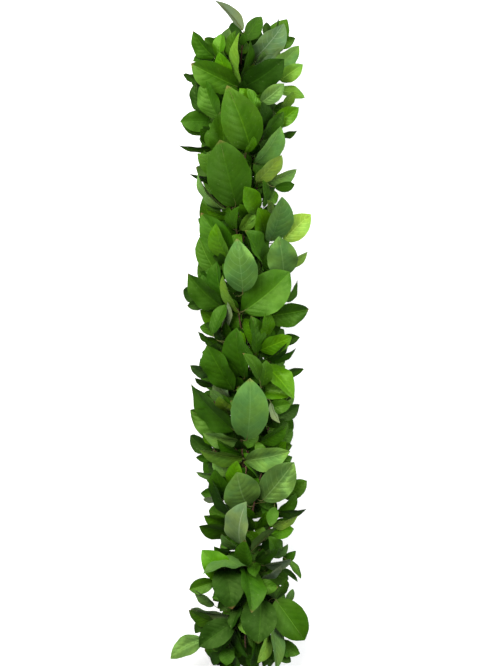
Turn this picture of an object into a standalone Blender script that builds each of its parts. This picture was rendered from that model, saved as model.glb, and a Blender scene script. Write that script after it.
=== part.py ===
"""A fresh leaf garland, about 0.9 m long, lying on a table.

Twigs of broad pointed leaves are bound one after another to a twine by a wire that winds round it.
All twigs point one way, +Y, except the last few, which are turned round to finish the lower end.
Metres, +Z up. The garland runs along Y, and the table is the plane z = 0.
"""

import math
import random

import bmesh
import bpy
import numpy as np
from mathutils import Matrix, Vector
from mathutils.bvhtree import BVHTree

MM = 0.001
UP = Vector((0, 0, 1))

# Driving dimensions
PIXEL = 1.35 * MM  # one pixel of the photograph on the garland, so that its leaves are 50 to 90 mm
MIDDLE_U, MIDDLE_V = 244, 333  # the pixel that lies over the middle of the garland
AXIS_HEIGHT = 44 * MM  # the twine above the table
SWAY, SWAY_LENGTH, SWAY_START = 5.4 * MM, 1.0, -63 * MM  # the slow bend of the twine in plan

TWINE_RADIUS = 2.4 * MM
TWINE_FROM, TWINE_TO = -0.395, 0.318
WIRE_RADIUS = 0.5 * MM
WIRE_TURN_RADIUS = 7.6 * MM
WIRE_PITCH = 34 * MM
WIRE_FROM, WIRE_TO = -0.392, 0.315
WIRE_SIDES = 6  # points to a turn

TWIG_RADIUS = 1.35 * MM
GAP = 0.45 * MM  # between pieces that touch
BOUND_RADIUS = TWINE_RADIUS + GAP + TWIG_RADIUS  # a twig's distance from the axis where it is bound
BOUND_LENGTH = WIRE_PITCH / 2
FREE_LENGTH = BOUND_LENGTH + WIRE_PITCH  # from a twig's cut end to where it is clear of the wire
BARE_LENGTH = 38 * MM  # from a twig's cut end to where leaves may grow
CLEAR_RISE = 5.6 * MM  # how far a twig has moved outwards by then
SPREAD_POWER = 1.38
GOLDEN_TURN = math.radians(137.5)
UPWARD_TWIGS, UPWARD_FROM, UPWARD_TO, UPWARD_LENGTH = 42, -0.322, 0.316, 128 * MM
DOWNWARD_TWIGS, DOWNWARD_FROM, DOWNWARD_TO, DOWNWARD_LENGTH = 8, -0.306, -0.374, 112 * MM

LEAF_RATIO = 0.58  # a leaf's width to its length
LEAF_THICKNESS = 1.3 * MM  # at the midrib, tapering to the margin
PETIOLE_RADIUS = 0.8 * MM
CLEARANCE = 0.55 * MM  # what a leaf keeps from everything else
TWIG_CLEARANCE = 0.25 * MM
RESTING_LEAVES = 6  # on each side, pressed flat on the table

# Height of a leaf's tip and base above the twine in each layer, from the back to the front
TIP_RISE = (2 * MM, 20 * MM, 35 * MM, 49 * MM)
BASE_RISE = (-4 * MM, 8 * MM, 18 * MM, 26 * MM)
TIP_REACH, BASE_REACH = 76 * MM, 54 * MM  # half widths of the garland at the tips and at the bases

# The leaves seen from above: base u, v, tip u, v and width in pixels of the photograph, then the
# layer, 3 in front, and the tone
PICTURE_LEAVES = (
    # Upper end
    (243, 31, 215, 1, 13, 2, "pale"),
    (215, 58, 193, 31, 14, 2, "fresh"),
    (215, 59, 193, 61, 9, 1, "deep"),
    (220, 58, 222, 33, 12, 1, "lime"),
    (233, 68, 229, 28, 15, 2, "waxy"),
    (237, 62, 236, 31, 10, 2, "leaf"),
    (254, 58, 284, 24, 22, 2, "waxy"),
    (262, 50, 286, 44, 7, 1, "deep"),
    (255, 68, 281, 49, 9, 1, "waxy"),
    (252, 70, 264, 52, 9, 1, "deep"),
    (272, 72, 299, 45, 19, 1, "lime"),
    (280, 80, 303, 64, 16, 1, "lime"),
    (242, 80, 250, 40, 16, 2, "leaf"),
    (240, 83, 239, 34, 8, 3, "lime"),
    (202, 78, 183, 74, 9, 1, "leaf"),
    (204, 86, 190, 78, 6, 1, "deep"),
    (230, 78, 219, 53, 15, 2, "fresh"),
    (279, 90, 305, 97, 14, 1, "lime"),
    (243, 87, 284, 60, 28, 3, "deep"),
    (238, 87, 191, 64, 28, 3, "leaf"),
    # Second tuft
    (205, 113, 195, 81, 13, 2, "waxy"),
    (198, 108, 176, 107, 9, 1, "deep"),
    (218, 118, 204, 80, 20, 2, "leaf"),
    (213, 121, 180, 121, 22, 2, "fresh"),
    (212, 111, 203, 95, 8, 1, "lime"),
    (257, 116, 247, 89, 14, 2, "lime"),
    (252, 110, 240, 89, 13, 2, "fresh"),
    (261, 103, 284, 84, 17, 2, "waxy"),
    (261, 126, 288, 94, 18, 1, "deep"),
    (283, 108, 293, 91, 9, 1, "lime"),
    (275, 125, 299, 107, 18, 1, "fresh"),
    (262, 139, 284, 112, 12, 1, "deep"),
    (260, 142, 262, 102, 15, 2, "leaf"),
    (273, 133, 297, 131, 7, 1, "leaf"),
    (224, 160, 221, 112, 26, 2, "leaf"),
    (251, 150, 227, 87, 34, 3, "leaf"),
    (256, 163, 281, 127, 19, 2, "fresh"),
    (216, 146, 178, 145, 6, 1, "leaf"),
    (246, 153, 253, 137, 9, 3, "fresh"),
    (218, 173, 204, 150, 9, 1, "deep"),
    (257, 182, 282, 156, 14, 3, "lime"),
    # Third tuft
    (221, 182, 189, 174, 8, 1, "leaf"),
    (226, 209, 197, 174, 15, 2, "leaf"),
    (267, 181, 297, 169, 14, 2, "waxy"),
    (275, 187, 295, 185, 9, 1, "leaf"),
    (264, 207, 262, 180, 9, 1, "leaf"),
    (236, 206, 220, 141, 44, 3, "leaf"),
    (272, 213, 269, 177, 14, 2, "leaf"),
    (252, 215, 246, 192, 10, 1, "leaf"),
    (256, 213, 244, 187, 11, 2, "fresh"),
    (268, 217, 268, 201, 6, 2, "lime"),
    (230, 216, 206, 209, 11, 1, "deep"),
    (230, 256, 201, 213, 29, 2, "leaf"),
    (233, 229, 228, 206, 11, 2, "leaf"),
    (236, 229, 239, 207, 10, 2, "leaf"),
    (240, 230, 254, 211, 12, 1, "waxy"),
    (263, 241, 258, 208, 19, 2, "fresh"),
    (270, 241, 282, 197, 24, 3, "waxy"),
    (284, 240, 311, 214, 25, 2, "young"),
    (229, 259, 216, 224, 16, 3, "fresh"),
    (284, 263, 308, 252, 10, 1, "fresh"),
    (284, 275, 279, 237, 31, 2, "waxy"),
    (262, 269, 245, 231, 16, 3, "fresh"),
    # Middle
    (225, 306, 216, 262, 14, 1, "deep"),
    (222, 307, 188, 273, 20, 2, "leaf"),
    (243, 292, 237, 239, 34, 3, "waxy"),
    (239, 313, 222, 276, 8, 3, "fresh"),
    (285, 301, 297, 280, 8, 1, "deep"),
    (267, 316, 309, 309, 22, 2, "leaf"),
    (244, 311, 290, 272, 40, 3, "fresh"),
    (221, 330, 229, 302, 6, 2, "pale"),
    (213, 334, 226, 304, 14, 1, "waxy"),
    (219, 341, 197, 331, 7, 1, "deep"),
    (220, 351, 205, 339, 7, 1, "deep"),
    (224, 346, 212, 316, 11, 1, "deep"),
    (233, 340, 226, 322, 9, 1, "deep"),
    (266, 337, 266, 313, 14, 2, "waxy"),
    (256, 353, 252, 316, 16, 2, "leaf"),
    (266, 359, 288, 343, 9, 1, "deep"),
    (260, 350, 292, 337, 17, 2, "fresh"),
    (271, 362, 296, 348, 5, 1, "deep"),
    # Fourth tuft
    (216, 372, 190, 365, 14, 1, "waxy"),
    (220, 384, 195, 378, 10, 1, "leaf"),
    (228, 397, 217, 376, 10, 1, "waxy"),
    (233, 390, 207, 345, 24, 2, "leaf"),
    (245, 377, 236, 328, 23, 3, "waxy"),
    (255, 376, 240, 339, 6, 3, "fresh"),
    (259, 379, 243, 353, 8, 2, "leaf"),
    (262, 386, 266, 360, 14, 2, "leaf"),
    (281, 373, 304, 369, 8, 1, "leaf"),
    (260, 392, 290, 396, 16, 1, "fresh"),
    (266, 366, 294, 398, 22, 2, "lime"),
    (223, 403, 210, 390, 10, 1, "pale"),
    (234, 430, 191, 384, 28, 2, "leaf"),
    (233, 440, 190, 410, 30, 2, "leaf"),
    (233, 415, 219, 396, 15, 3, "fresh"),
    (268, 409, 291, 404, 15, 1, "leaf"),
    (271, 402, 280, 423, 5, 2, "pale"),
    (267, 425, 286, 419, 7, 1, "deep"),
    (247, 439, 250, 378, 38, 3, "waxy"),
    # Fifth tuft
    (260, 442, 287, 427, 13, 1, "leaf"),
    (239, 441, 203, 433, 16, 3, "fresh"),
    (242, 453, 217, 440, 9, 2, "fresh"),
    (268, 471, 284, 456, 10, 1, "deep"),
    (228, 476, 213, 457, 13, 1, "lime"),
    (219, 474, 196, 472, 6, 1, "deep"),
    (243, 458, 199, 450, 14, 3, "leaf"),
    (245, 460, 290, 451, 25, 3, "lime"),
    (232, 486, 237, 461, 17, 2, "fresh"),
    (263, 481, 243, 462, 13, 1, "leaf"),
    (214, 501, 200, 477, 11, 1, "fresh"),
    (217, 501, 203, 499, 5, 1, "pale"),
    (227, 499, 215, 469, 18, 2, "deep"),
    (284, 498, 307, 481, 18, 1, "leaf"),
    (274, 516, 296, 493, 17, 1, "deep"),
    (263, 500, 294, 462, 33, 3, "waxy"),
    (236, 520, 211, 478, 13, 2, "fresh"),
    (247, 505, 237, 472, 38, 3, "leaf"),
    (279, 512, 307, 509, 9, 1, "deep"),
    # Sixth tuft
    (228, 525, 204, 516, 15, 1, "leaf"),
    (237, 531, 199, 526, 18, 2, "leaf"),
    (241, 549, 222, 533, 15, 2, "fresh"),
    (255, 529, 266, 511, 10, 1, "deep"),
    (275, 507, 270, 526, 12, 2, "fresh"),
    (270, 524, 298, 515, 9, 2, "lime"),
    (271, 533, 294, 529, 16, 1, "fresh"),
    (240, 544, 246, 501, 22, 3, "waxy"),
    (252, 550, 277, 526, 10, 2, "pale"),
    (276, 553, 269, 536, 8, 2, "leaf"),
    (249, 566, 245, 539, 12, 3, "leaf"),
    (233, 553, 214, 547, 9, 1, "deep"),
    (228, 582, 202, 550, 27, 1, "lime"),
    (255, 561, 278, 548, 13, 2, "deep"),
    (271, 556, 288, 544, 9, 2, "waxy"),
    (283, 561, 296, 551, 9, 1, "deep"),
    (288, 561, 301, 579, 6, 1, "fresh"),
    (282, 569, 298, 582, 6, 1, "deep"),
    (266, 566, 291, 558, 13, 3, "waxy"),
    # Lower end, where the last twigs are turned round
    (214, 582, 189, 590, 16, 1, "leaf"),
    (214, 606, 194, 590, 12, 1, "waxy"),
    (224, 568, 232, 608, 32, 2, "leaf"),
    (248, 566, 203, 572, 18, 3, "waxy"),
    (263, 579, 281, 566, 10, 2, "waxy"),
    (277, 599, 286, 579, 9, 1, "leaf"),
    (251, 588, 278, 587, 16, 2, "leaf"),
    (245, 568, 252, 611, 22, 3, "fresh"),
    (287, 603, 293, 589, 8, 1, "deep"),
    (261, 600, 258, 643, 36, 2, "leaf"),
    (276, 600, 305, 641, 33, 3, "leaf"),
    (241, 606, 231, 629, 11, 2, "deep"),
    (216, 624, 188, 611, 9, 1, "leaf"),
    (206, 617, 195, 634, 10, 1, "deep"),
    (231, 615, 190, 610, 17, 2, "waxy"),
    (203, 640, 170, 659, 19, 1, "waxy"),
    (233, 623, 199, 646, 27, 3, "leaf"),
    (199, 646, 213, 658, 11, 1, "fresh"),
    (229, 648, 226, 665, 16, 1, "waxy"),
    (230, 643, 242, 669, 11, 1, "deep"),
    (237, 628, 247, 653, 7, 2, "deep"),
    (232, 630, 249, 657, 7, 2, "waxy"),
    (257, 642, 250, 670, 13, 1, "leaf"),
    (273, 620, 277, 669, 13, 1, "waxy"),
    (268, 631, 258, 662, 9, 2, "fresh"),
    (277, 647, 287, 658, 5, 1, "deep"),
)

# Colours of the leaves, linear RGB
TONES = {
    "deep": (0.030, 0.085, 0.012),
    "leaf": (0.060, 0.160, 0.018),
    "waxy": (0.110, 0.210, 0.070),
    "fresh": (0.110, 0.270, 0.020),
    "lime": (0.240, 0.400, 0.050),
    "young": (0.420, 0.560, 0.080),
    "pale": (0.230, 0.300, 0.120),
}
FILL_TONES = ("leaf", "deep", "leaf", "fresh", "waxy", "leaf")


def axis_x(y):
    """Where the twine lies across the garland."""
    return -SWAY * math.sin(2 * math.pi * (y - SWAY_START) / SWAY_LENGTH)


def from_axis(y, radius, azimuth):
    """A point at this distance and azimuth from the twine. Far out the garland is wider than it is high."""
    spread = min(max((radius - 10 * MM) / (20 * MM), 0), 1)
    across = radius * math.cos(azimuth) * (1 + 0.25 * spread)
    above = radius * math.sin(azimuth) * (1 - 0.12 * spread)
    return Vector((axis_x(y) + across, y, AXIS_HEIGHT + above))


def from_photo(u, v):
    return Vector(((u - MIDDLE_U) * PIXEL, (MIDDLE_V - v) * PIXEL, 0))


def shell(rise, reach, x, y):
    """Height above the table of a rounded shell over the twine."""
    share = min(abs(x - axis_x(y)) / reach, 1)
    return AXIS_HEIGHT + rise * math.sqrt(1 - share * share)


def loft(rings):
    """Points and faces of the body through these rings of points. The last may be a single point."""
    points = [p for ring in rings for p in ring]
    count = len(rings[0])
    faces = [tuple(reversed(range(count)))]
    start = 0
    for ring, following in zip(rings, rings[1:]):
        after = start + count
        for i in range(count):
            j = (i + 1) % count
            if len(following) == 1:
                faces.append((start + i, start + j, after))
            else:
                faces.append((start + i, start + j, after + j, after + i))
        start = after
    if len(rings[-1]) == count:
        faces.append(tuple(range(start, start + count)))
    return points, faces


def tube(path, radius, sides=6):
    """A plain tube about a path, to test clearances with."""
    rings = []
    for i, point in enumerate(path):
        heading = (path[min(i + 1, len(path) - 1)] - path[max(i - 1, 0)]).normalized()
        across = heading.orthogonal().normalized() if i == 0 else across - heading * across.dot(heading)
        across.normalize()
        other = heading.cross(across)
        turns = [2 * math.pi * k / sides for k in range(sides)]
        rings.append([point + (across * math.cos(a) + other * math.sin(a)) * radius for a in turns])
    return loft(rings)


class Occupied:
    """The space that is taken, as slightly swollen bodies."""

    def __init__(self):
        self.trees, self.owners, self.low, self.high = [], [], [], []

    def add(self, body, owner):
        points, faces = body
        self.trees.append(BVHTree.FromPolygons(points, faces))
        self.owners.append(owner)
        array = np.array(points)
        self.low.append(array.min(0))
        self.high.append(array.max(0))

    def is_free(self, body, ignored=None):
        points, faces = body
        array = np.array(points)
        low, high = array.min(0), array.max(0)
        near = np.all((np.array(self.low) <= high) & (np.array(self.high) >= low), axis=1)
        if not near.any():
            return True
        tree = BVHTree.FromPolygons(points, faces)
        others = [i for i in np.flatnonzero(near) if self.owners[i] != ignored]
        return not any(self.trees[i].overlap(tree) for i in others)


class Twig:
    """A stem along the twine, bound at its cut end, that leaves between two turns of the wire."""

    def __init__(self, name, azimuth, near_y, way, length, drift):
        self.name = name
        self.way = way
        turn = azimuth / (2 * math.pi)
        turns = round((near_y - WIRE_FROM) / WIRE_PITCH - turn - 0.5)
        crossing = WIRE_FROM + WIRE_PITCH * (turn + turns + 0.5)
        self.steps = [0, BOUND_LENGTH, 2 * BOUND_LENGTH, FREE_LENGTH, 0.7 * length, length]
        self.points = []
        for step in self.steps:
            beyond = max(step - BOUND_LENGTH, 0) / WIRE_PITCH
            radius = BOUND_RADIUS + CLEAR_RISE * beyond**SPREAD_POWER
            bend = drift * max(step - FREE_LENGTH, 0) / (length - FREE_LENGTH)
            y = crossing + way * (step - BOUND_LENGTH - WIRE_PITCH / 2)
            self.points.append(from_axis(y, radius, azimuth + bend))
        self.leaves = []

    def at(self, step):
        """The point of the centre line at this distance along the twine from the cut end."""
        for i in range(len(self.steps) - 1):
            if step <= self.steps[i + 1] or i == len(self.steps) - 2:
                share = (step - self.steps[i]) / (self.steps[i + 1] - self.steps[i])
                return self.points[i].lerp(self.points[i + 1], share)

    def heading(self, step):
        return (self.at(min(step + 2 * MM, self.steps[-1])) - self.at(step - 2 * MM)).normalized()

    def body(self):
        return tube(self.points, TWIG_RADIUS + TWIG_CLEARANCE)

    def trim(self):
        """Cuts the twig off just past its last leaf, so that no bare tip stands out."""
        reach = max([self.way * leaf.root.y for leaf in self.leaves], default=None)
        if reach is None:
            return
        start = self.way * self.points[0].y
        end = max(reach - start + 2.5 * MM, FREE_LENGTH + 4 * MM)
        if end < self.steps[-1]:
            kept = [i for i, step in enumerate(self.steps) if step < end - 3 * MM]
            tip = self.at(end)
            self.points = [self.points[i] for i in kept] + [tip]
            self.steps = [self.steps[i] for i in kept] + [end]


class Leaf:
    """A pointed oval blade on a petiole. Its margins rise from the midrib, and it arches along it."""

    def __init__(
        self, root, base, tip, facing, width, fold, arch, tone="leaf", turned=1, flat=False, fine=False
    ):
        self.root, self.base, self.tip = root, base, tip
        self.tone, self.flat = tone, flat
        self.length = (tip - base).length
        self.fine = fine and self.length > 30 * MM
        self.width, self.arch = width, arch * turned
        self.fold = fold * turned if self.fine else min(fold, 0.08)
        self.along = (tip - base).normalized()
        self.normal = (facing - self.along * facing.dot(self.along)).normalized()
        self.side = self.along.cross(self.normal)

    def centre(self, t):
        return self.base.lerp(self.tip, t) + self.normal * (self.arch * self.length * 4 * t * (1 - t))

    def half_width(self, t):
        """An oval, widest two fifths of the way along, with a drawn-out tip."""
        oval = math.sin(math.pi * t**0.8) ** 0.75 if 0 < t < 1 else 0
        return self.width / 2 * oval * (1 - 0.35 * t**6)

    def surface(self, t, c):
        """The point at t along the blade and c across it, -1 to 1."""
        half = self.half_width(t)
        return self.centre(t) + self.side * (c * half) + self.normal * (self.fold * abs(c) * half)

    def stations(self):
        if self.fine and self.length > 52 * MM:
            return (0.14, 0.4, 0.66, 0.87)
        return (0.18, 0.48, 0.8) if self.length > (42 if self.fine else 56) * MM else (0.22, 0.65)

    def blade_rings(self, swell=0.0):
        """Rings of four points: left margin, upper face, right margin and lower face."""
        above = LEAF_THICKNESS / 2 + swell
        below = above
        if self.flat and not swell:
            above, below = LEAF_THICKNESS, 0
        neck = PETIOLE_RADIUS + swell
        rings = [[self.base - self.side * neck, self.base + self.normal * above]]
        rings[0] += [self.base + self.side * neck, self.base - self.normal * below]
        for t in self.stations():
            half = self.half_width(t)
            middle = self.centre(t)
            margin = self.normal * (self.fold * half)
            left = middle - self.side * (half + swell) + margin
            right = middle + self.side * (half + swell) + margin
            rings.append([left, middle + self.normal * above, right, middle - self.normal * below])
        rings.append([self.tip + self.along * swell])
        return rings

    def petiole_ring(self, share, swell=0.0):
        """The petiole's section at this share of the way from the twig's centre to the blade."""
        run = (self.base - self.root).normalized()
        side = (self.side - run * self.side.dot(run)).normalized()
        other = side.cross(run)
        middle = self.root.lerp(self.base, share)
        radius = PETIOLE_RADIUS + swell
        side, other = side * radius, other * radius
        return [middle - side, middle + other, middle + side, middle - other]

    def solid(self):
        """The leaf as a closed body. A small leaf does without the crease along its upper face."""
        rings = [self.petiole_ring(0)] + self.blade_rings()
        if not self.fine and not self.flat:
            rings = [ring if len(ring) == 1 else [ring[0], ring[2], ring[3]] for ring in rings]
        return loft(rings)

    def swollen_blade(self):
        return loft(self.blade_rings(CLEARANCE))

    def swollen_petiole(self):
        start = min(2.3 * MM / (self.base - self.root).length, 0.6)
        return loft([self.petiole_ring(start, CLEARANCE), self.petiole_ring(1, CLEARANCE)])

    def petiole_turn(self):
        return (self.base - self.root).angle(self.along, math.pi)


class Canopy:
    """Heights of the topmost and the lowest leaf and of the stems over each small square of the table."""

    CELL = 2.5 * MM
    HALF_X, HALF_Y = 0.14, 0.50

    def __init__(self, twigs):
        shape = (int(2 * self.HALF_X / self.CELL), int(2 * self.HALF_Y / self.CELL))
        self.top, self.bottom, self.stems = np.zeros(shape), np.ones(shape), np.full(shape, 1 * MM)
        lines = [twine_points()] + [twig.points for twig in twigs]
        for line in lines:
            for start, end in zip(line, line[1:]):
                for i in range(24):
                    point = start.lerp(end, i / 24)
                    for x in (-2 * MM, 0, 2 * MM):
                        cell = self.cell(point + Vector((x, 0, 0)))
                        self.stems[cell] = max(self.stems[cell], point.z + 2 * MM)

    def cell(self, point):
        return int((point.x + self.HALF_X) / self.CELL), int((point.y + self.HALF_Y) / self.CELL)

    def cover(self, leaf):
        for i in range(1, 30):
            for j in range(-6, 7):
                point = leaf.surface(i / 30, j / 6)
                cell = self.cell(point)
                self.top[cell] = max(self.top[cell], point.z)
                self.bottom[cell] = min(self.bottom[cell], point.z)


SAMPLES = [(t, c) for t in (0.12, 0.35, 0.6, 0.85, 1.0) for c in (-0.85, 0, 0.85)]


def grow_twigs(occupied):
    """Twigs one after another along the twine, each turned until it is clear of those before it."""
    twigs = []
    runs = (
        ("down", DOWNWARD_TWIGS, DOWNWARD_FROM, DOWNWARD_TO, -1, DOWNWARD_LENGTH),
        ("up", UPWARD_TWIGS, UPWARD_FROM, UPWARD_TO, 1, UPWARD_LENGTH),
    )
    for label, count, first, last, way, length in runs:
        for i in range(count):
            draw = random.Random(f"twig {label} {i}")
            drift = math.radians(draw.uniform(-22, 22))
            reach = length * draw.uniform(0.93, 1.05)
            near_y = first + (last - first) * i / (count - 1)
            for turn in sorted(range(-35, 37), key=abs):
                azimuth = (i * GOLDEN_TURN + turn * math.radians(5)) % (2 * math.pi)
                twig = Twig(f"twig_{label}_{i + 1:02d}", azimuth, near_y, way, reach, drift)
                if occupied.is_free(twig.body()):
                    break
            else:
                continue
            occupied.add(twig.body(), twig.name)
            twigs.append(twig)
    return twigs


def fits(leaf, twig, occupied):
    if leaf.petiole_turn() > math.radians(92) or min(p.z for p in solid_points(leaf)) < 0:
        return False
    return occupied.is_free(leaf.swollen_petiole(), twig.name) and occupied.is_free(leaf.swollen_blade())


def solid_points(leaf):
    return leaf.solid()[0]


def settle(leaf, twig, occupied):
    occupied.add(leaf.swollen_petiole(), twig.name + " petiole")
    occupied.add(leaf.swollen_blade(), twig.name + " blade")
    twig.leaves.append(leaf)


# How far a leaf's base and tip may be moved up, in mm, where there is no room for it as it should be
LIFTS = [(raised, lift) for raised in (0, 7, 14, -5) for lift in (0, 4, -4, 8, -8, 13, 19, 26, -13)]


def picture_candidates(number, row, twigs):
    """The ways in which a leaf of the photograph can hang on the twigs near it, the best first."""
    base_u, base_v, tip_u, tip_v, width, layer, tone = row
    draw = random.Random(f"picture {number}")
    fold, arch = draw.uniform(0.08, 0.3), draw.uniform(0.02, 0.09)
    flat_base, flat_tip = from_photo(base_u, base_v), from_photo(tip_u, tip_v)
    wanted = shell(BASE_RISE[layer], BASE_REACH, flat_base.x, flat_base.y)
    tip_z = shell(TIP_RISE[layer], TIP_REACH, flat_tip.x, flat_tip.y)
    run = (flat_tip - flat_base).normalized()
    outward = 1 if flat_base.x + flat_tip.x > 2 * axis_x(flat_base.y) else -1
    roots = []
    for twig in twigs:
        for k in range(34):
            step = BARE_LENGTH + k * 3 * MM
            if step > twig.steps[-1] - 1 * MM:
                break
            root = twig.at(step)
            gap = flat_base - Vector((root.x, root.y, 0))
            if 4 * MM < gap.length < 48 * MM and gap.normalized().dot(run) > -0.3:
                base_z = root.z + min(0.3 * gap.length, 5 * MM)
                roots.append((gap.length + 0.7 * abs(base_z - wanted), twig, root, base_z))
    roots.sort(key=lambda found: found[0])
    found = []
    for cost, twig, root, base_z in roots[:14]:
        for raised, lift in LIFTS:
            base = Vector((flat_base.x, flat_base.y, base_z + raised * MM))
            tip = Vector((flat_tip.x, flat_tip.y, tip_z + lift * MM))
            length = (tip - base).length
            seen = width * PIXEL
            true_width = max(seen, min(LEAF_RATIO * length, 2 * seen))
            roll = math.acos(min(seen / true_width, 1))
            along = (tip - base).normalized()
            for more in (0, 12, -12, 25, -25):
                facing = UP - along * UP.dot(along)
                turn = outward * (roll + math.radians(more)) * (1 if along.y > 0 else -1)
                facing = Matrix.Rotation(turn, 3, along) @ facing
                turned = -1 if tone == "pale" else 1
                leaf = Leaf(root, base, tip, facing, true_width, fold, arch, tone, turned, fine=True)
                extra = 0.5 * abs(lift) + 0.4 * abs(raised) + 0.2 * abs(more)
                found.append((cost + extra * MM, twig, leaf))
    found.sort(key=lambda way: way[0])
    return found


def place_picture_leaves(twigs, occupied, canopy):
    """Front to back, and each leaf goes under those in front of it where it can."""
    placed = []
    order = sorted(range(len(PICTURE_LEAVES)), key=lambda n: (-PICTURE_LEAVES[n][5], -n))
    for number in order:
        ways = []
        for cost, twig, leaf in picture_candidates(number, PICTURE_LEAVES[number], twigs):
            points = [leaf.surface(t, c) for t, c in SAMPLES]
            over = sum(max(p.z + 1 * MM - canopy.bottom[canopy.cell(p)], 0) for p in points) / len(points)
            ways.append((cost + 1.5 * over, len(ways), twig, leaf))
        ways.sort()
        for cost, tie, twig, leaf in ways:
            if fits(leaf, twig, occupied):
                settle(leaf, twig, occupied)
                canopy.cover(leaf)
                placed.append(number)
                break
    return placed


def resting_candidates(number, side, twigs):
    """Leaves that reach down from the lowest twigs and lie flat on the table."""
    draw = random.Random(f"resting {number} {side}")
    y = -0.36 + 0.72 * (number + 0.5 * (side > 0)) / (RESTING_LEAVES - 0.5)
    found = []
    for twig in twigs:
        for k in range(24):
            step = BARE_LENGTH + k * 4 * MM
            if step > twig.steps[-1] - 1 * MM:
                break
            root = twig.at(step)
            if root.z < AXIS_HEIGHT - 6 * MM and side * (root.x - axis_x(root.y)) > -4 * MM:
                found.append((abs(root.y - y) + root.z, twig, root))
    found.sort(key=lambda way: way[0])
    ways = []
    for cost, twig, root in found[:40]:
        for turn in (35, 60, 15, 80, -10):
            angle = math.radians(turn + draw.uniform(-5, 5))
            run = Vector((side * math.sin(angle), twig.way * math.cos(angle), 0))
            for length in (56, 46, 38):
                base = Vector((root.x, root.y, 0)) + run * (0.55 * root.z + 3 * MM)
                tip = base + run * length * MM
                if abs(tip.x - axis_x(tip.y)) < 66 * MM:
                    width = LEAF_RATIO * length * MM
                    ways.append((twig, Leaf(root, base, tip, UP, width, 0, 0, "leaf", 1, True)))
    return ways


def place_resting_leaves(twigs, occupied):
    for number in range(RESTING_LEAVES):
        for side in (-1, 1):
            for twig, leaf in resting_candidates(number, side, twigs):
                if fits(leaf, twig, occupied):
                    settle(leaf, twig, occupied)
                    break


def filling_candidates(twig, number, step, twist, upward=False):
    """Leaves that spread from a twig by turns to either side, or end it, and face outward or upward."""
    draw = random.Random(f"filling {twig.name} {number} {twist}")
    ends = step >= twig.steps[-1]
    root = twig.at(min(step, twig.steps[-1] - 0.5 * MM))
    heading = twig.heading(min(step, twig.steps[-1] - 3 * MM))
    radial = Vector((root.x - axis_x(root.y), 0, root.z - AXIS_HEIGHT))
    radial = (radial - heading * radial.dot(heading)).normalized()
    hand = 1 if number % 2 else -1
    ways = []
    for length in (62, 52, 43, 34, 27):
        for opening in (28, 44, 62) if not ends else (6, 20, 34):
            for spin in (60, 25, 95, -15, 130) + ((165,) if upward else ()):
                angle = math.radians(opening + draw.uniform(-6, 6))
                swing = math.radians(hand * (spin + draw.uniform(-12, 12)))
                outward = Matrix.Rotation(swing, 3, heading) @ radial
                along = heading * math.cos(angle) + outward * math.sin(angle)
                neck = (heading + along).normalized()
                base = root + neck * draw.uniform(6, 9) * MM
                tip = base + along * length * draw.uniform(0.92, 1.08) * MM
                tip.z = max(tip.z, 1.5 * MM)
                facing = UP + radial * 0.4 if upward else radial + outward * 0.4
                width = LEAF_RATIO * length * draw.uniform(0.9, 1.08) * MM
                fold, arch = draw.uniform(0.08, 0.3), draw.uniform(0.02, 0.1)
                tone = FILL_TONES[draw.randrange(len(FILL_TONES))]
                ways.append(Leaf(root, base, tip, facing, width, fold, arch, tone))
    return ways


def is_hidden(leaf, canopy):
    """A filling leaf lies under the leaves of the photograph, and inside their outline."""
    for t, c in SAMPLES:
        point = leaf.surface(t, c)
        over = canopy.top[canopy.cell(point)]
        across = abs(point.x - axis_x(point.y))
        if over and point.z > over - 1 * MM:
            return False
        if not over and (across > 48 * MM or point.z > AXIS_HEIGHT + 26 * MM):
            return False
        if across > 72 * MM or not -0.462 < point.y < 0.43:
            return False
    return True


def opening_covered(leaf, canopy):
    """How much of a leaf lies over an opening in the canopy: 0 if it hides leaves of the photograph."""
    count, above = 0, 0
    for t, c in SAMPLES:
        point = leaf.surface(t, c)
        cell = canopy.cell(point)
        if abs(point.x - axis_x(point.y)) > 58 * MM or point.z > AXIS_HEIGHT + 32 * MM:
            return 0
        if not -0.455 < point.y < 0.40:
            return 0
        is_open = canopy.top[cell] < canopy.stems[cell]
        count += is_open and point.z > canopy.stems[cell]
        above += not is_open and point.z > canopy.top[cell] - 1 * MM
    return count if above < 3 else 0


def place_covering_leaves(twigs, occupied, canopy):
    """Leaves between those of the photograph, where the stems would show."""
    for twist, least in ((7, 6), (8, 5), (9, 4)):
        for twig in twigs:
            step, number = twig.steps[-1], 0
            while step > BARE_LENGTH:
                ways = []
                for leaf in filling_candidates(twig, number, step, twist, True):
                    covered = opening_covered(leaf, canopy)
                    if covered >= least:
                        ways.append((-covered * leaf.length, len(ways), leaf))
                for score, tie, leaf in sorted(ways):
                    if fits(leaf, twig, occupied):
                        settle(leaf, twig, occupied)
                        canopy.cover(leaf)
                        break
                number += 1
                step -= 10 * MM


def place_filling_leaves(twigs, occupied, canopy, spacing):
    for twist in range(len(spacing)):
        for twig in twigs:
            step, number = twig.steps[-1], 0
            while step > BARE_LENGTH:
                for leaf in filling_candidates(twig, number, step, twist):
                    if is_hidden(leaf, canopy) and fits(leaf, twig, occupied):
                        settle(leaf, twig, occupied)
                        break
                number += 1
                step -= spacing[twist]


def material(name, colour, roughness, metallic=0.0):
    made = bpy.data.materials.get(name) or bpy.data.materials.new(name)
    made.use_nodes = True
    shader = made.node_tree.nodes["Principled BSDF"]
    shader.inputs["Base Color"].default_value = (*colour, 1)
    shader.inputs["Roughness"].default_value = roughness
    shader.inputs["Metallic"].default_value = metallic
    return made


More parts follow.
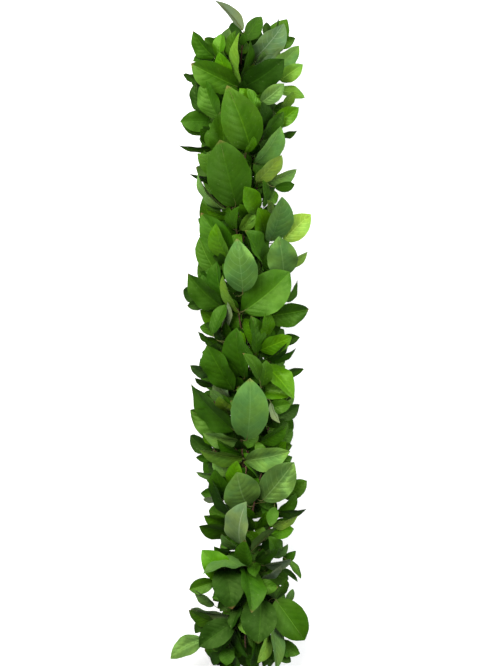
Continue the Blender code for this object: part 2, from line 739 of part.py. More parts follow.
def curve_object(name, points, radius, resolution, finish):
    """A round bar along a line of points."""
    curve = bpy.data.curves.new(name, "CURVE")
    curve.dimensions = "3D"
    curve.bevel_depth = radius
    curve.bevel_resolution = resolution
    curve.use_fill_caps = True
    spline = curve.splines.new("POLY")
    spline.points.add(len(points) - 1)
    for target, point in zip(spline.points, points):
        target.co = (*point, 1)
    curve.materials.append(finish)
    return bpy.data.objects.new(name, curve)


def mesh_object(name, body, finish):
    points, faces = body
    mesh = bpy.data.meshes.new(name)
    mesh.from_pydata(points, [], faces)
    mesh.materials.append(finish)
    return bpy.data.objects.new(name, mesh)


def as_mesh(curve, collection):
    """The curve object as a closed mesh object with the same name."""
    graph = bpy.context.evaluated_depsgraph_get()
    mesh = bpy.data.meshes.new_from_object(curve.evaluated_get(graph))
    shape = bmesh.new()
    shape.from_mesh(mesh)
    bmesh.ops.remove_doubles(shape, verts=shape.verts, dist=0.00001)
    bmesh.ops.recalc_face_normals(shape, faces=shape.faces)
    shape.to_mesh(mesh)
    shape.free()
    name = curve.name
    bpy.data.objects.remove(curve)
    made = bpy.data.objects.new(name, mesh)
    collection.objects.link(made)
    return made


def keep_main_body(mesh):
    """Removes scraps and sealed hollows beside the main body, and tells whether it is closed."""
    shape = bmesh.new()
    shape.from_mesh(mesh)
    unseen, bodies = set(shape.faces), []
    while unseen:
        body, edge = [], [unseen.pop()]
        while edge:
            face = edge.pop()
            body.append(face)
            linked = {f for e in face.edges for f in e.link_faces} & unseen
            edge += linked
            unseen -= linked
        bodies.append(body)
    bodies.sort(key=len)
    for body in bodies[:-1]:
        bmesh.ops.delete(shape, geom=body, context="FACES")
    is_closed = all(edge.is_manifold for edge in shape.edges)
    shape.to_mesh(mesh)
    shape.free()
    return is_closed


def twig_object(twig, garland, bark, finishes):
    """The stem with its leaves joined to it as one body."""
    stem = curve_object(twig.name, twig.points, TWIG_RADIUS, 0, bark)
    garland.objects.link(stem)
    bpy.context.view_layer.update()
    stem = as_mesh(stem, garland)
    if not twig.leaves:
        return stem
    joined = bpy.data.collections.new(twig.name + "_leaves")
    for i, leaf in enumerate(twig.leaves):
        blade = mesh_object(f"{twig.name}_leaf_{i}", leaf.solid(), finishes[leaf.tone])
        joined.objects.link(blade)
    union = stem.modifiers.new("leaves", "BOOLEAN")
    union.operation = "UNION"
    union.operand_type = "COLLECTION"
    union.collection = joined
    union.material_mode = "TRANSFER"
    for solver in ("EXACT", "MANIFOLD"):
        union.solver = solver
        bpy.context.view_layer.update()
        graph = bpy.context.evaluated_depsgraph_get()
        mesh = bpy.data.meshes.new_from_object(stem.evaluated_get(graph))
        if keep_main_body(mesh):
            break
    stem.modifiers.remove(union)
    stem.data = mesh
    for blade in list(joined.objects):
        bpy.data.objects.remove(blade)
    bpy.data.collections.remove(joined)
    return stem


def wire_points():
    turns = (WIRE_TO - WIRE_FROM) / WIRE_PITCH
    count = round(turns * WIRE_SIDES)
    points = []
    for i in range(count + 1):
        share = i / WIRE_SIDES
        y = WIRE_FROM + WIRE_PITCH * share
        points.append(from_axis(y, WIRE_TURN_RADIUS, 2 * math.pi * share))
    return points


def twine_points():
    count = 18
    ys = [TWINE_FROM + (TWINE_TO - TWINE_FROM) * i / count for i in range(count + 1)]
    return [Vector((axis_x(y), y, AXIS_HEIGHT)) for y in ys]


def middle_of(twigs):
    """The middle of the garland in plan, which becomes the origin."""
    points = np.array([p for twig in twigs for leaf in twig.leaves for p in solid_points(leaf)])
    low, high = points.min(0), points.max(0)
    return Vector(((low[0] + high[0]) / 2, (low[1] + high[1]) / 2, 0))


def plan_garland():
    """All twigs with their leaves in place."""
    occupied = Occupied()
    occupied.add(tube(twine_points(), TWINE_RADIUS), "twine")
    occupied.add(tube(wire_points(), WIRE_RADIUS, 4), "wire")
    twigs = grow_twigs(occupied)
    canopy = Canopy(twigs)
    place_picture_leaves(twigs, occupied, canopy)
    place_resting_leaves(twigs, occupied)
    place_covering_leaves(twigs, occupied, canopy)
    place_filling_leaves(twigs, occupied, canopy, (42 * MM,))
    for twig in twigs:
        twig.trim()
    return twigs


def build():
    for obj in list(bpy.data.objects):
        bpy.data.objects.remove(obj)
    garland = bpy.data.collections.new("ruscus_garland")
    bpy.context.scene.collection.children.link(garland)
    bark = material("twig bark", (0.16, 0.075, 0.03), 0.7)
    finishes = {tone: material(f"leaf {tone}", colour, 0.4) for tone, colour in TONES.items()}

    twigs = plan_garland()
    for twig in twigs:
        twig_object(twig, garland, bark, finishes)
    jute = material("twine", (0.35, 0.24, 0.12), 0.9)
    green = material("green wire", (0.02, 0.07, 0.02), 0.45, 0.6)
    twine = curve_object("core_twine", twine_points(), TWINE_RADIUS, 1, jute)
    wire = curve_object("binding_wire", wire_points(), WIRE_RADIUS, 0, green)
    garland.objects.link(twine)
    garland.objects.link(wire)

    origin = bpy.data.objects.new("garland_origin", None)
    garland.objects.link(origin)
    origin.location = -middle_of(twigs)
    for obj in garland.objects:
        if obj is not origin:
            obj.parent = origin
    return twigs


if __name__ == "__main__":
    build()
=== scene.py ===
import math
import random
import re

import bpy
import numpy as np
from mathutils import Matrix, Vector
from mathutils.bvhtree import BVHTree


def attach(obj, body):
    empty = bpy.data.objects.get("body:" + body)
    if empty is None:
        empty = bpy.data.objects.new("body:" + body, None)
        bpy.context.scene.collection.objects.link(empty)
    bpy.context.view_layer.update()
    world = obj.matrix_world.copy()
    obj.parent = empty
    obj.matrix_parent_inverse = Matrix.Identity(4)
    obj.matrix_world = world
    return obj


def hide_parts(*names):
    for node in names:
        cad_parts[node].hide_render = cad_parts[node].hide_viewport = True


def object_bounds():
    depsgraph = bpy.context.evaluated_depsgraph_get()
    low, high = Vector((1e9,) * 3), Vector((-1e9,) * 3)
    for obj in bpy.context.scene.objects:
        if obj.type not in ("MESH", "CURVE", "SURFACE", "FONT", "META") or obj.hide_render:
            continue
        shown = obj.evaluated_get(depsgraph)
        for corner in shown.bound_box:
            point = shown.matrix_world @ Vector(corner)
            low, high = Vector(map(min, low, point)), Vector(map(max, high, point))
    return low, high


mm = 0.001
up = Vector((0, 0, 1))
goldenTurn = math.radians(137.5)

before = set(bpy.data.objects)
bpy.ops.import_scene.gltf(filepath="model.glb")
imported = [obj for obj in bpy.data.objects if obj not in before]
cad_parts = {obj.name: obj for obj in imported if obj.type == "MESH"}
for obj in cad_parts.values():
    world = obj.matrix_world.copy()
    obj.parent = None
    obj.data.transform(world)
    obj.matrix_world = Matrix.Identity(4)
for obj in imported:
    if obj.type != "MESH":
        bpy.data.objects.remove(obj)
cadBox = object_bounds()
print("frame loaded:", len(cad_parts), "nodes")

# Where the photograph's pixels lie on the table, in the garland's own millimetres
photo = {
    "pixel": 1.35 * mm, "middleU": 244, "middleV": 333, "wide": 500, "high": 666,
    "slack": 0.9 * mm,  # how far a leaf's tip may lie from the place that is named
}

# How the twigs were bound, as in the CAD. Only the wire is rounder here and 0.5 mm closer to the twine
binding = {
    "axisHeight": 44 * mm, "sway": 5.4 * mm, "swayLength": 1.0, "swayStart": -63 * mm,
    "twineFrom": -0.395, "twineTo": 0.318, "twineSides": 6,
    "wireTurn": 7.1 * mm, "wirePitch": 34 * mm, "wireFrom": -0.392, "wireTo": 0.315,
    "boundRadius": 4.2 * mm, "clearRise": 5.6 * mm, "spreadPower": 1.38,
    "spreadFrom": 10 * mm, "spreadOver": 20 * mm, "wider": 0.25, "lower": 0.12, "drift": math.radians(22),
}
twigRuns = {
    "up": {"count": 42, "first": -0.322, "last": 0.316, "way": 1, "length": 128 * mm},
    "down": {"count": 8, "first": -0.306, "last": -0.374, "way": -1, "length": 112 * mm},
}

# How the CAD shapes a leaf: its pointed oval, its thickness and the most that it arches
cadLeaf = {
    "shift": 0.8, "fullness": 0.75, "point": 0.35, "pointPower": 6, "thickness": 1.3 * mm, "arch": 0.16,
}

# How near the CAD's corners have to be to where a stem or a leaf should have them
reading = {
    "stemCorner": 1.35 * mm,  # from the stem's middle
    "sewn": 0.002 * mm, "stemMiss": 0.4 * mm, "onStem": 1.5 * mm, "stemEnd": 0.5 * mm, "stemReach": 2.5 * mm,
    "leafMiss": 0.1 * mm, "square": 0.02, "crest": 0.03 * mm, "table": 0.02 * mm, "straight": 0.999,
    "footReach": 3 * mm, "baseReach": 1.4 * mm,
}

# The tones of leaves, by where their tips lie in the photograph: u and v. A tone is partly the leaf's own
# colour and partly painted light and shade: darker tones for leaves in shade, lighter and greyer ones for
# leaves that catch the light
tipTones = {
    "dark": ((284, 60), (195, 81), (262, 102), (212, 316), (288, 343), (211, 478), (232, 608), (231, 629),
             (195, 634), (258, 643), (199, 646), (247, 653), (249, 657)),
    "deep": ((286, 44), (193, 61), (190, 78), (284, 112), (180, 121), (220, 141), (204, 150), (201, 213),
             (216, 262), (188, 273), (297, 280), (226, 304), (236, 328), (197, 331), (205, 339), (240, 339),
             (207, 345), (296, 348), (191, 384), (286, 419), (217, 440), (284, 456), (215, 469), (296, 493),
             (307, 509), (277, 526), (278, 548), (296, 551), (298, 582), (287, 658), (226, 665), (242, 669)),
    "leaf": ((193, 31), (191, 64), (245, 231), (290, 272), (226, 322), (270, 526), (214, 547), (301, 579),
             (252, 611)),
    "fresh": ((222, 33), (219, 53), (240, 89), (247, 89), (299, 107), (253, 137), (244, 187), (258, 208),
              (206, 209), (216, 224), (266, 313), (292, 337), (290, 396), (294, 398), (237, 461), (266, 511),
              (294, 529), (202, 550)),
    "lime": ((239, 34), (303, 64), (293, 91), (203, 95), (305, 97), (268, 201), (254, 211), (222, 276),
             (219, 396), (199, 450)),
    "young": ((282, 156), (311, 214), (308, 252), (298, 515), (258, 662)),
    # this greyish tone paints a sheen on the leaves
    "waxy": ((229, 28), (264, 52), (284, 84), (282, 197), (279, 237), (237, 239), (190, 365), (250, 378),
             (210, 390), (294, 462), (237, 472), (288, 544), (203, 572), (293, 589), (194, 590), (170, 659),
             (277, 669)),
    # and this lighter one paints a brighter sheen
    "silver": ((284, 24), (281, 49), (217, 376), (246, 501), (190, 610)),
    "pale": ((215, 1), (229, 302), (280, 423), (203, 499), (291, 558), (281, 566)),
    "bright": ((299, 45), (281, 127), (297, 169), (197, 174), (203, 433), (290, 451), (213, 457), (196, 472),
               (222, 533)),
}

# Leaves with an unusual end, by where their tips lie
bluntTips = ((284, 24), (284, 60), (191, 64), (220, 141), (290, 272), (309, 309), (305, 641), (258, 643),
             (199, 646), (207, 345))
dryTips = ((193, 31), (188, 611), (190, 610), (201, 213), (243, 353), (228, 206))
pointedTips = ((215, 1), (193, 31), (237, 239), (227, 87), (201, 213), (191, 384), (294, 398), (290, 451),
               (188, 273))

# The tones' colours. The more matte a tone, the less painted sheen is on the leaf and the duller it is
tones = {
    "colours": {
        "dark": (0.005, 0.023, 0.0003), "deep": (0.013, 0.050, 0.0004), "leaf": (0.018, 0.061, 0.0008),
        # of the next line, the first two tones paint a greyish sheen
        "waxy": (0.050, 0.107, 0.021), "silver": (0.096, 0.159, 0.056), "fresh": (0.038, 0.117, 0.0010),
        "lime": (0.074, 0.152, 0.012), "young": (0.152, 0.258, 0.030), "pale": (0.155, 0.208, 0.110),
        "bright": (0.095, 0.202, 0.036),
    },
    "hidden": ("leaf", "deep", "leaf", "fresh", "deep", "leaf"),  # for small leaves that aren't named above
    "matte": {"dark": 1.0, "deep": 0.9, "leaf": 0.5, "waxy": 0.0, "silver": 0.0}, "otherMatte": 0.2,
}


def axisX(y):
    return -binding["sway"] * math.sin(2 * math.pi * (y - binding["swayStart"]) / binding["swayLength"])


def fromAxis(y, radius, azimuth):
    spread = min(max((radius - binding["spreadFrom"]) / binding["spreadOver"], 0), 1)
    across = radius * math.cos(azimuth) * (1 + binding["wider"] * spread)
    above = radius * math.sin(azimuth) * (1 - binding["lower"] * spread)
    return Vector((axisX(y) + across, y, binding["axisHeight"] + above))


def mergedMesh(obj):
    # a CAD node is loose triangles: its corners are sewn together here
    corners = np.empty(len(obj.data.vertices) * 3)
    obj.data.vertices.foreach_get("co", corners)
    corners = corners.reshape(-1, 3)
    rounded = np.round(corners / reading["sewn"]).astype(np.int64)
    first, index = np.unique(rounded, axis=0, return_index=True, return_inverse=True)[1:]
    index = index.reshape(-1)
    points = [Vector(p) for p in corners[first]]
    beside = [set() for p in points]
    for face in obj.data.polygons:
        ring = [index[v] for v in face.vertices]
        for i, v in enumerate(ring):
            beside[v].update((ring[i - 1], ring[(i + 1) % len(ring)]))
    for i, near in enumerate(beside):
        near.discard(i)
    return points, beside


# The garland's middle is the origin, and its own millimetres start a little beside it
endRing = sorted(mergedMesh(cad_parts["core_twine"])[0], key=lambda p: p.y)[:binding["twineSides"]]
twineEnd = Vector((axisX(binding["twineFrom"]), binding["twineFrom"], binding["axisHeight"]))
shift = sum(endRing, Vector()) / len(endRing) - twineEnd
shift.z = 0
print("shift", [round(v * 1000, 2) for v in shift])


def twigLine(label, number, azimuth):
    run = twigRuns[label]
    pitch = binding["wirePitch"]
    draw = random.Random(f"twig {label} {number}")
    drift = draw.uniform(-1, 1) * binding["drift"]
    length = run["length"] * draw.uniform(0.93, 1.05)
    nearY = run["first"] + (run["last"] - run["first"]) * number / (run["count"] - 1)
    turn = azimuth / (2 * math.pi)
    turns = round((nearY - binding["wireFrom"]) / pitch - turn - 0.5)
    crossing = binding["wireFrom"] + pitch * (turn + turns + 0.5)
    free = 1.5 * pitch
    points = []
    for step in (0, pitch / 2, pitch, free, 0.7 * length, length):
        beyond = max(step - pitch / 2, 0) / pitch
        radius = binding["boundRadius"] + binding["clearRise"] * beyond ** binding["spreadPower"]
        bend = drift * max(step - free, 0) / (length - free)
        points.append(fromAxis(crossing + run["way"] * (step - pitch), radius, azimuth + bend) + shift)
    return points


def nearestOn(points, place):
    # the nearest point of a line of points, its distance, and how far along the line it is
    best = None
    walked = 0.0
    for start, end in zip(points, points[1:]):
        run = end - start
        share = min(max((place - start).dot(run) / run.length_squared, 0), 1)
        spot = start + run * share
        gap = (place - spot).length
        if best is None or gap < best[1]:
            best = (spot, gap, walked + share * run.length)
        walked += run.length
    return best


def findLine(name, points):
    # the azimuth isn't in the record, so it is read off the corners of the stem's cut end
    label, number = name.split("_")[1], int(name.split("_")[2]) - 1
    cloud = np.array(points)
    best = None
    for turn in range(-36, 37):
        line = twigLine(label, number, (number * goldenTurn + turn * math.radians(5)) % (2 * math.pi))
        miss = 0.0
        for spot in line[:2]:
            gaps = np.sort(np.linalg.norm(cloud - np.array(spot), axis=1))[:4]
            miss += abs(gaps - reading["stemCorner"]).sum()
        if best is None or miss < best[0]:
            best = (miss, line)
    miss, line = best
    if miss > reading["stemMiss"]:
        print("stem not found well:", name, round(miss * 1000, 2))
    found = [nearestOn(line, p) for p in points]
    reach = max(walked for spot, gap, walked in found if gap < reading["onStem"])
    kept, walked = [line[0]], 0.0
    for start, end in zip(line, line[1:]):
        length = (end - start).length
        if walked + length >= reach - reading["stemEnd"]:
            kept.append(start.lerp(end, min((reach - walked) / length, 1)))
            break
        kept.append(end)
        walked += length
    return kept


def outline(t):
    oval = math.sin(math.pi * t ** cadLeaf["shift"]) ** cadLeaf["fullness"]
    return oval * (1 - cadLeaf["point"] * t ** cadLeaf["pointPower"])


def stationsOf(corners, length):
    # where the CAD cuts a leaf across, as shares of its length
    if corners == 4 and length > 52 * mm:
        return (0.14, 0.4, 0.66, 0.87)
    if length > (42 if corners == 4 else 56) * mm:
        return (0.18, 0.48, 0.8)
    return (0.22, 0.65)


def ringsFrom(tip, beside):
    # rings of corners, one after another from the leaf's tip to its base
    seen, ring, rings = {tip}, set(beside[tip]), []
    corners = len(ring)
    while len(ring) == corners and len(rings) < 6:
        if any(len(beside[v] & ring) < 2 for v in ring):
            break
        rings.append(ring)
        seen |= ring
        ring = set().union(*(beside[v] for v in ring)) - seen
    return rings


def readRing(ring, points):
    # the half width, the margins' middle, the point on the centre line, and the normal
    spots = [points[v] for v in ring]
    pairs = [(a, b) for i, a in enumerate(spots) for b in spots[i + 1:]]
    left, right = max(pairs, key=lambda pair: (pair[0] - pair[1]).length)
    rest = [p for p in spots if p is not left and p is not right]
    middle = (left + right) / 2
    if len(rest) == 2:
        centre = (rest[0] + rest[1]) / 2
        normal = (rest[0] - rest[1]).normalized()
        normal *= 1 if (middle - centre).dot(normal) > 0 else -1
    else:
        normal = (middle - rest[0]).normalized()
        centre = rest[0] + normal * (cadLeaf["thickness"] / 2)
    return {"half": (left - right).length / 2, "middle": middle, "centre": centre, "normal": normal}


def fittedLeaf(tip, points, rings, corners, length):
    # the leaf of about this length whose rings these are, or None
    shares = list(reversed(stationsOf(corners, length)))
    if len(shares) != len(rings):
        return None
    read = [readRing(ring, points) for ring in rings]
    end = points[tip]
    # centre = base (1 - t) + tip t + 4 arch t (1 - t) holds for every ring
    rows = np.array([[1, 4 * t] for t in shares])
    targets = np.array([(ring["centre"] - end * t) / (1 - t) for ring, t in zip(read, shares)])
    solved = np.linalg.lstsq(rows, targets, rcond=None)[0]
    base, arch = Vector(solved[0]), Vector(solved[1])
    run = end - base
    missed = np.abs(rows @ solved - targets).max() > reading["leafMiss"]
    slanted = abs(run.normalized().dot(read[0]["normal"])) > reading["square"]
    bowed = arch.length > cadLeaf["arch"] * run.length
    if missed or slanted or bowed or len(stationsOf(corners, run.length)) != len(rings):
        return None
    widest = max(range(len(rings)), key=lambda k: read[k]["half"])
    ring, normal = read[widest], read[-1]["normal"]
    return {
        "base": base, "tip": end, "normal": normal, "flat": False, "large": corners == 4,
        "width": 2 * ring["half"] / outline(shares[widest]),
        "fold": (ring["middle"] - ring["centre"]).dot(normal) / ring["half"],
        "arch": arch.dot(normal) / run.length, "used": {tip}.union(*rings),
    }


def readLeaf(tip, points, beside):
    # the leaf whose tip this is, or None
    corners = len(beside[tip])
    if corners not in (3, 4):
        return None
    rings = ringsFrom(tip, beside)
    for count in (4, 3, 2):
        if len(rings) < count:
            continue
        guess = (readRing(rings[count - 1], points)["middle"] - points[tip]).length
        for share in (0.78, 0.84):
            leaf = fittedLeaf(tip, points, rings[:count], corners, guess / share)
            if leaf:
                leaf["below"] = rings[count] if len(rings) > count else set()
                return leaf
    return None


def readRestingLeaf(tip, points, beside):
    # a leaf that lies flat on the table has a crest one thickness up, straight from its tip to its base
    def onCrest(v):
        return abs(points[v].z - cadLeaf["thickness"]) < reading["crest"]

    def ahead(v):
        return onCrest(v) and (last - points[v]).xy.normalized().dot(way) > reading["straight"]

    crest = [v for v in beside[tip] if onCrest(v)]
    if points[tip].z > reading["table"] or len(crest) != 1:
        return None
    way = (points[tip] - points[crest[0]]).xy.normalized()
    while True:
        last = points[crest[-1]]
        following = [v for v in beside[crest[-1]] if ahead(v)]
        if not following:
            break
        crest.append(min(following, key=lambda v: (last - points[v]).length))
    if len(crest) < 3:
        return None
    base = points[crest[-1]] - up * cadLeaf["thickness"]
    run = points[tip] - base
    share = (points[crest[0]] - base).xy.length / run.length
    low = set().union(*(beside[v] for v in crest)) - set(crest)
    low = {v for v in low if points[v].z < reading["table"]}
    level = [points[v] - base for v in beside[crest[0]] & low]
    level = [p for p in level if abs(p.dot(run) / run.length_squared - share) < reading["square"]]
    half = max(p.cross(run.normalized()).length for p in level)
    return {
        "base": base, "tip": points[tip], "normal": up, "flat": True, "large": False,
        "width": 2 * half / outline(share), "fold": 0.0, "arch": 0.0, "used": {tip}.union(crest, low),
        "below": {v for v in range(len(points)) if (points[v] - base).length < reading["baseReach"]},
    }


def readTwig(name, obj):
    points, beside = mergedMesh(obj)
    line = findLine(name, points)
    leaves, used = [], set()
    for tip, place in enumerate(points):
        if nearestOn(line, place)[1] >= reading["stemReach"]:
            leaves.append(readRestingLeaf(tip, points, beside) or readLeaf(tip, points, beside))
    # a corner of one leaf can look like the tip of another: the one that is longer is right
    leaves = sorted(filter(None, leaves), key=lambda leaf: -(leaf["tip"] - leaf["base"]).length)
    kept = []
    for leaf in leaves:
        if not leaf["used"] & used:
            used |= leaf["used"]
            kept.append(leaf)
    for leaf in kept:
        around = set().union(*(beside[v] for v in leaf["below"])) - leaf["below"] - leaf["used"]
        near = [points[v] for v in around if nearestOn(line, points[v])[1] < reading["footReach"]]
        foot = leaf["base"] - (leaf["tip"] - leaf["base"]).normalized() * reading["footReach"]
        if near:
            foot = sum(near, Vector()) / len(near)
        leaf["root"] = nearestOn(line, foot)[0]
    return {"line": line, "leaves": kept}


twigNames = sorted(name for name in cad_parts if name.startswith("twig"))
twigs = {name: readTwig(name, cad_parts[name]) for name in twigNames}
print("leaves read:", sum(len(twig["leaves"]) for twig in twigs.values()))


def endsAt(leaf, u, v):
    x = (u - photo["middleU"]) * photo["pixel"] + shift.x
    y = (photo["middleV"] - v) * photo["pixel"] + shift.y
    return math.hypot(leaf["tip"].x - x, leaf["tip"].y - y) < photo["slack"]


def endsAmong(leaf, tips):
    return any(endsAt(leaf, *tip) for tip in tips)


def toneOf(leaf, draw):
    for tone, tips in tipTones.items():
        if endsAmong(leaf, tips):
            return tone
    return "leaf" if leaf["large"] else draw.choice(tones["hidden"])


def roundnessOf(leaf, draw):
    if endsAmong(leaf, bluntTips):
        return 1.0
    return 0.2 if endsAmong(leaf, pointedTips) else draw.uniform(0.45, 1.0)


for name, twig in twigs.items():
    draw = random.Random("tones " + name)
    for leaf in twig["leaves"]:
        leaf["tone"] = toneOf(leaf, draw)


# Small leaves along the stems, over what would show bare from above and in the garland's inside
innerLeaves = {
    # shortest, longest, tries, and the most samples that may hide another leaf
    "covers": ((18 * mm, 36 * mm, 16, 4), (11 * mm, 20 * mm, 40, 3)),
    "coverStep": 5 * mm, "coverBehind": (2 * mm, 18 * mm), "coverTurn": (-75, 75), "coverLean": (14, 50),
    "stemTop": 1.5 * mm, "stemStart": 0.5 * mm,
    # shortest, longest, tries, and the fewest samples that lie over a gap
    "sizes": ((22 * mm, 42 * mm, 70, 0), (13 * mm, 24 * mm, 90, 2)),
    "first": 12 * mm, "lean": (25, 65), "mostHidden": 3, "keepEvery": 4,
    "ratio": 0.56, "petiole": (3 * mm, 11 * mm), "fold": (0.1, 0.3), "arch": (-0.02, 0.08),
    # mostly dark tones: painted shade for the garland's inside
    "tones": ("deep", "dark", "deep", "leaf", "deep", "dark", "leaf"),
    "patch": (0.2, 0.5, 0.8), "clear": 5 * mm, "stemHalf": 1.4 * mm,
}

# More of them wherever one would see through the garland, looked at from these sides
gapFilling = {
    "looks": ((0, 0, 1), (1, 0, 0), (1, 1, 0.3), (1, -1, 0.3), (1, 0, 0.8), (-1, 0, 0.8)),
    "fromAbove": 0.9, "fromSide": 0.1,  # a look that rises more than the first, or less than the second
    "first": -0.41, "last": 0.39, "step": 5 * mm, "across": 36 * mm, "low": 10 * mm, "high": 76 * mm,
    "near": 7 * mm, "far": 36 * mm, "tries": 22, "spotStep": 5 * mm, "stalks": (0.3, 0.5, 0.7),
    "petiole": 3 * mm, "beyond": (4 * mm, 12 * mm), "shortest": 12 * mm, "seenFrom": 50 * mm,
}


def perpendicular(run, guess):
    flat = guess - run * guess.dot(run)
    if flat.length < 1e-6:
        flat = run.orthogonal()
    return flat.normalized()


def leafSpot(leaf, t, c):
    # the point at t along a leaf and c across it
    run = leaf["tip"] - leaf["base"]
    normal = perpendicular(run.normalized(), leaf["normal"])
    half = leaf["width"] / 2 * outline(t) if 0 < t < 1 else 0
    rise = leaf["arch"] * run.length * 4 * t * (1 - t) + leaf["fold"] * abs(c) * half
    return leaf["base"] + run * t + run.normalized().cross(normal) * (c * half) + normal * rise


def leafPatch(leaf):
    # a coarse blade, to feel whether another leaf is in the way
    points = [leafSpot(leaf, t, c) for t in innerLeaves["patch"] for c in (-1, 0, 1)]
    points = [leafSpot(leaf, 0, 0)] + points + [leafSpot(leaf, 1, 0)]
    faces = [(0, 1, 2), (0, 2, 3), (10, 8, 7), (10, 9, 8)]
    for row in (1, 4):
        for k in (row, row + 1):
            faces += [(k, k + 3, k + 4), (k, k + 4, k + 1)]
    return points, faces


def castTree(patches):
    points, faces = [], []
    for patchPoints, patchFaces in patches:
        faces += [tuple(len(points) + i for i in face) for face in patchFaces]
        points += patchPoints
    return BVHTree.FromPolygons(points, faces)


def lengthOf(line):
    return sum((end - start).length for start, end in zip(line, line[1:]))


def pointOn(line, distance):
    for start, end in zip(line, line[1:]):
        length = (end - start).length
        if distance <= length:
            return start.lerp(end, distance / length), (end - start) / length
        distance -= length
    return None


# What has grown so far, and the stems that no new leaf may cross
canopy = {"patches": [leafPatch(leaf) for twig in twigs.values() for leaf in twig["leaves"]]}
canopy["leaves"] = castTree(canopy["patches"])
stemStrips = []
for twig in twigs.values():
    for start, end in zip(twig["line"], twig["line"][1:]):
        aside = (end - start).normalized().orthogonal() * innerLeaves["stemHalf"]
        stemStrips.append(([start - aside, start + aside, end], [(0, 1, 2)]))
canopy["stems"] = castTree(stemStrips)


def tried(leaf):
    # the leaf's patch if it is free, and how many of its samples hide a leaf from above, or a gap
    samples = [leafSpot(leaf, t, c) for t in innerLeaves["patch"] for c in (-0.8, 0, 0.8)] + [leaf["tip"]]
    if min(p.z for p in samples) < innerLeaves["clear"] or not cadBox[0][1] < leaf["tip"].y < cadBox[1][1]:
        return None, 0, 0
    patch = leafPatch(leaf)
    own = castTree([patch])
    if canopy["leaves"].overlap(own) or canopy["stems"].overlap(own):
        return None, 0, 0
    seen = [p for p in samples if not canopy["leaves"].ray_cast(p, up)[0]]
    hidden = sum(1 for p in seen if canopy["leaves"].ray_cast(p, -up)[0])
    return patch, hidden, len(seen) - hidden


def keepLeaf(twig, leaf, patch):
    canopy["patches"].append(patch)
    canopy["leaves"] = castTree(canopy["patches"])
    twig["leaves"].append(leaf)


def shaken(draw, way, most):
    return way + Vector([draw.uniform(-most, most) for i in range(3)])


def newLeaf(draw, spot, base, aim, reach, facing):
    return {
        "base": base, "tip": base + aim * reach, "root": spot, "flat": False, "large": False,
        "normal": perpendicular(aim, facing), "width": reach * innerLeaves["ratio"],
        "fold": draw.uniform(*innerLeaves["fold"]), "arch": draw.uniform(*innerLeaves["arch"]),
        "tone": draw.choice(innerLeaves["tones"]),
    }


def innerLeaf(draw, spot, way, side, turn, lean, sizes):
    # a leaf that leans away from the stem, on the side that the turn gives
    outward = side * math.cos(turn) + way.cross(side) * math.sin(turn)
    lean = math.radians(draw.uniform(*lean))
    aim = (way * math.cos(lean) + outward * math.sin(lean)).normalized()
    base = spot + aim * draw.uniform(*innerLeaves["petiole"])
    reach = draw.uniform(*sizes)
    aim = shaken(draw, aim, 0.3).normalized()
    return newLeaf(draw, spot, base, aim, reach, up * 1.2 + outward * 0.6)


def gapLeaf(draw, spot, gap, look):
    # a leaf that grows from the spot on a stem through the gap
    aim = shaken(draw, (gap - spot).normalized(), 0.15).normalized()
    base = spot + aim * gapFilling["petiole"]
    reach = max((gap - base).length + draw.uniform(*gapFilling["beyond"]), gapFilling["shortest"])
    facing = shaken(draw, look, 0.3)
    return newLeaf(draw, spot, base, aim, reach, -facing if facing.z < 0 else facing)


def coverStem(twig, draw, distance, sizes, tries, mostHidden):
    # one leaf over this point of the stem, if it shows bare from above; the number of leaves grown
    bare = pointOn(twig["line"], distance)[0] + up * innerLeaves["stemTop"]
    if canopy["leaves"].ray_cast(bare, up)[0]:
        return 0
    for attempt in range(tries):
        behind = distance - draw.uniform(*innerLeaves["coverBehind"])
        spot, way = pointOn(twig["line"], max(behind, innerLeaves["stemStart"]))
        turn = math.radians(draw.uniform(*innerLeaves["coverTurn"]))
        leaf = innerLeaf(draw, spot, way, perpendicular(way, up), turn, innerLeaves["coverLean"], sizes)
        patch, hidden = tried(leaf)[:2]
        if patch and hidden <= mostHidden and castTree([patch]).ray_cast(bare, up)[0]:
            keepLeaf(twig, leaf, patch)
            return 1
    return 0


def rounds(label, rows):
    for shortest, longest, tries, limit in rows:
        for name, twig in twigs.items():
            yield twig, random.Random(f"{label} {name} {tries}"), (shortest, longest), tries, limit


def coverStems():
    count = 0
    for twig, draw, sizes, tries, mostHidden in rounds("cover", innerLeaves["covers"]):
        for number in range(1, int(lengthOf(twig["line"]) / innerLeaves["coverStep"])):
            count += coverStem(twig, draw, number * innerLeaves["coverStep"], sizes, tries, mostHidden)
    return count


def gapPoints(look):
    # a grid of points inside the garland, level for a look from above and upright for the others
    y = gapFilling["first"]
    while y < gapFilling["last"]:
        if look.z > gapFilling["fromAbove"]:
            reach = int(gapFilling["across"] / gapFilling["step"])
            for k in range(-reach, reach + 1):
                yield Vector((axisX(y) + k * gapFilling["step"], y, binding["axisHeight"])) + shift
        else:
            height = gapFilling["low"]
            while height < gapFilling["high"]:
                yield Vector((axisX(y), y, height)) + shift
                height += gapFilling["step"]
        y += gapFilling["step"]
    if look.z < gapFilling["fromSide"]:
        # and in front of the long stalks of the leaves that rest on the table
        for leaf in (leaf for twig in twigs.values() for leaf in twig["leaves"] if leaf["flat"]):
            for share in gapFilling["stalks"]:
                yield leaf["root"].lerp(leaf["base"], share)


def fillGap(draw, spots, gap, look):
    # one leaf through the gap, from a stem near it; the number of leaves grown
    near = [row for row in spots if gapFilling["near"] < (row[0] - gap).length < gapFilling["far"]]
    draw.shuffle(near)
    for spot, twig in near[:gapFilling["tries"]]:
        leaf = gapLeaf(draw, spot, gap, look)
        patch, hidden = tried(leaf)[:2]
        if not patch or hidden > innerLeaves["mostHidden"]:
            continue
        if castTree([patch]).ray_cast(gap - look * gapFilling["seenFrom"], look)[0]:
            keepLeaf(twig, leaf, patch)
            return 1
    return 0


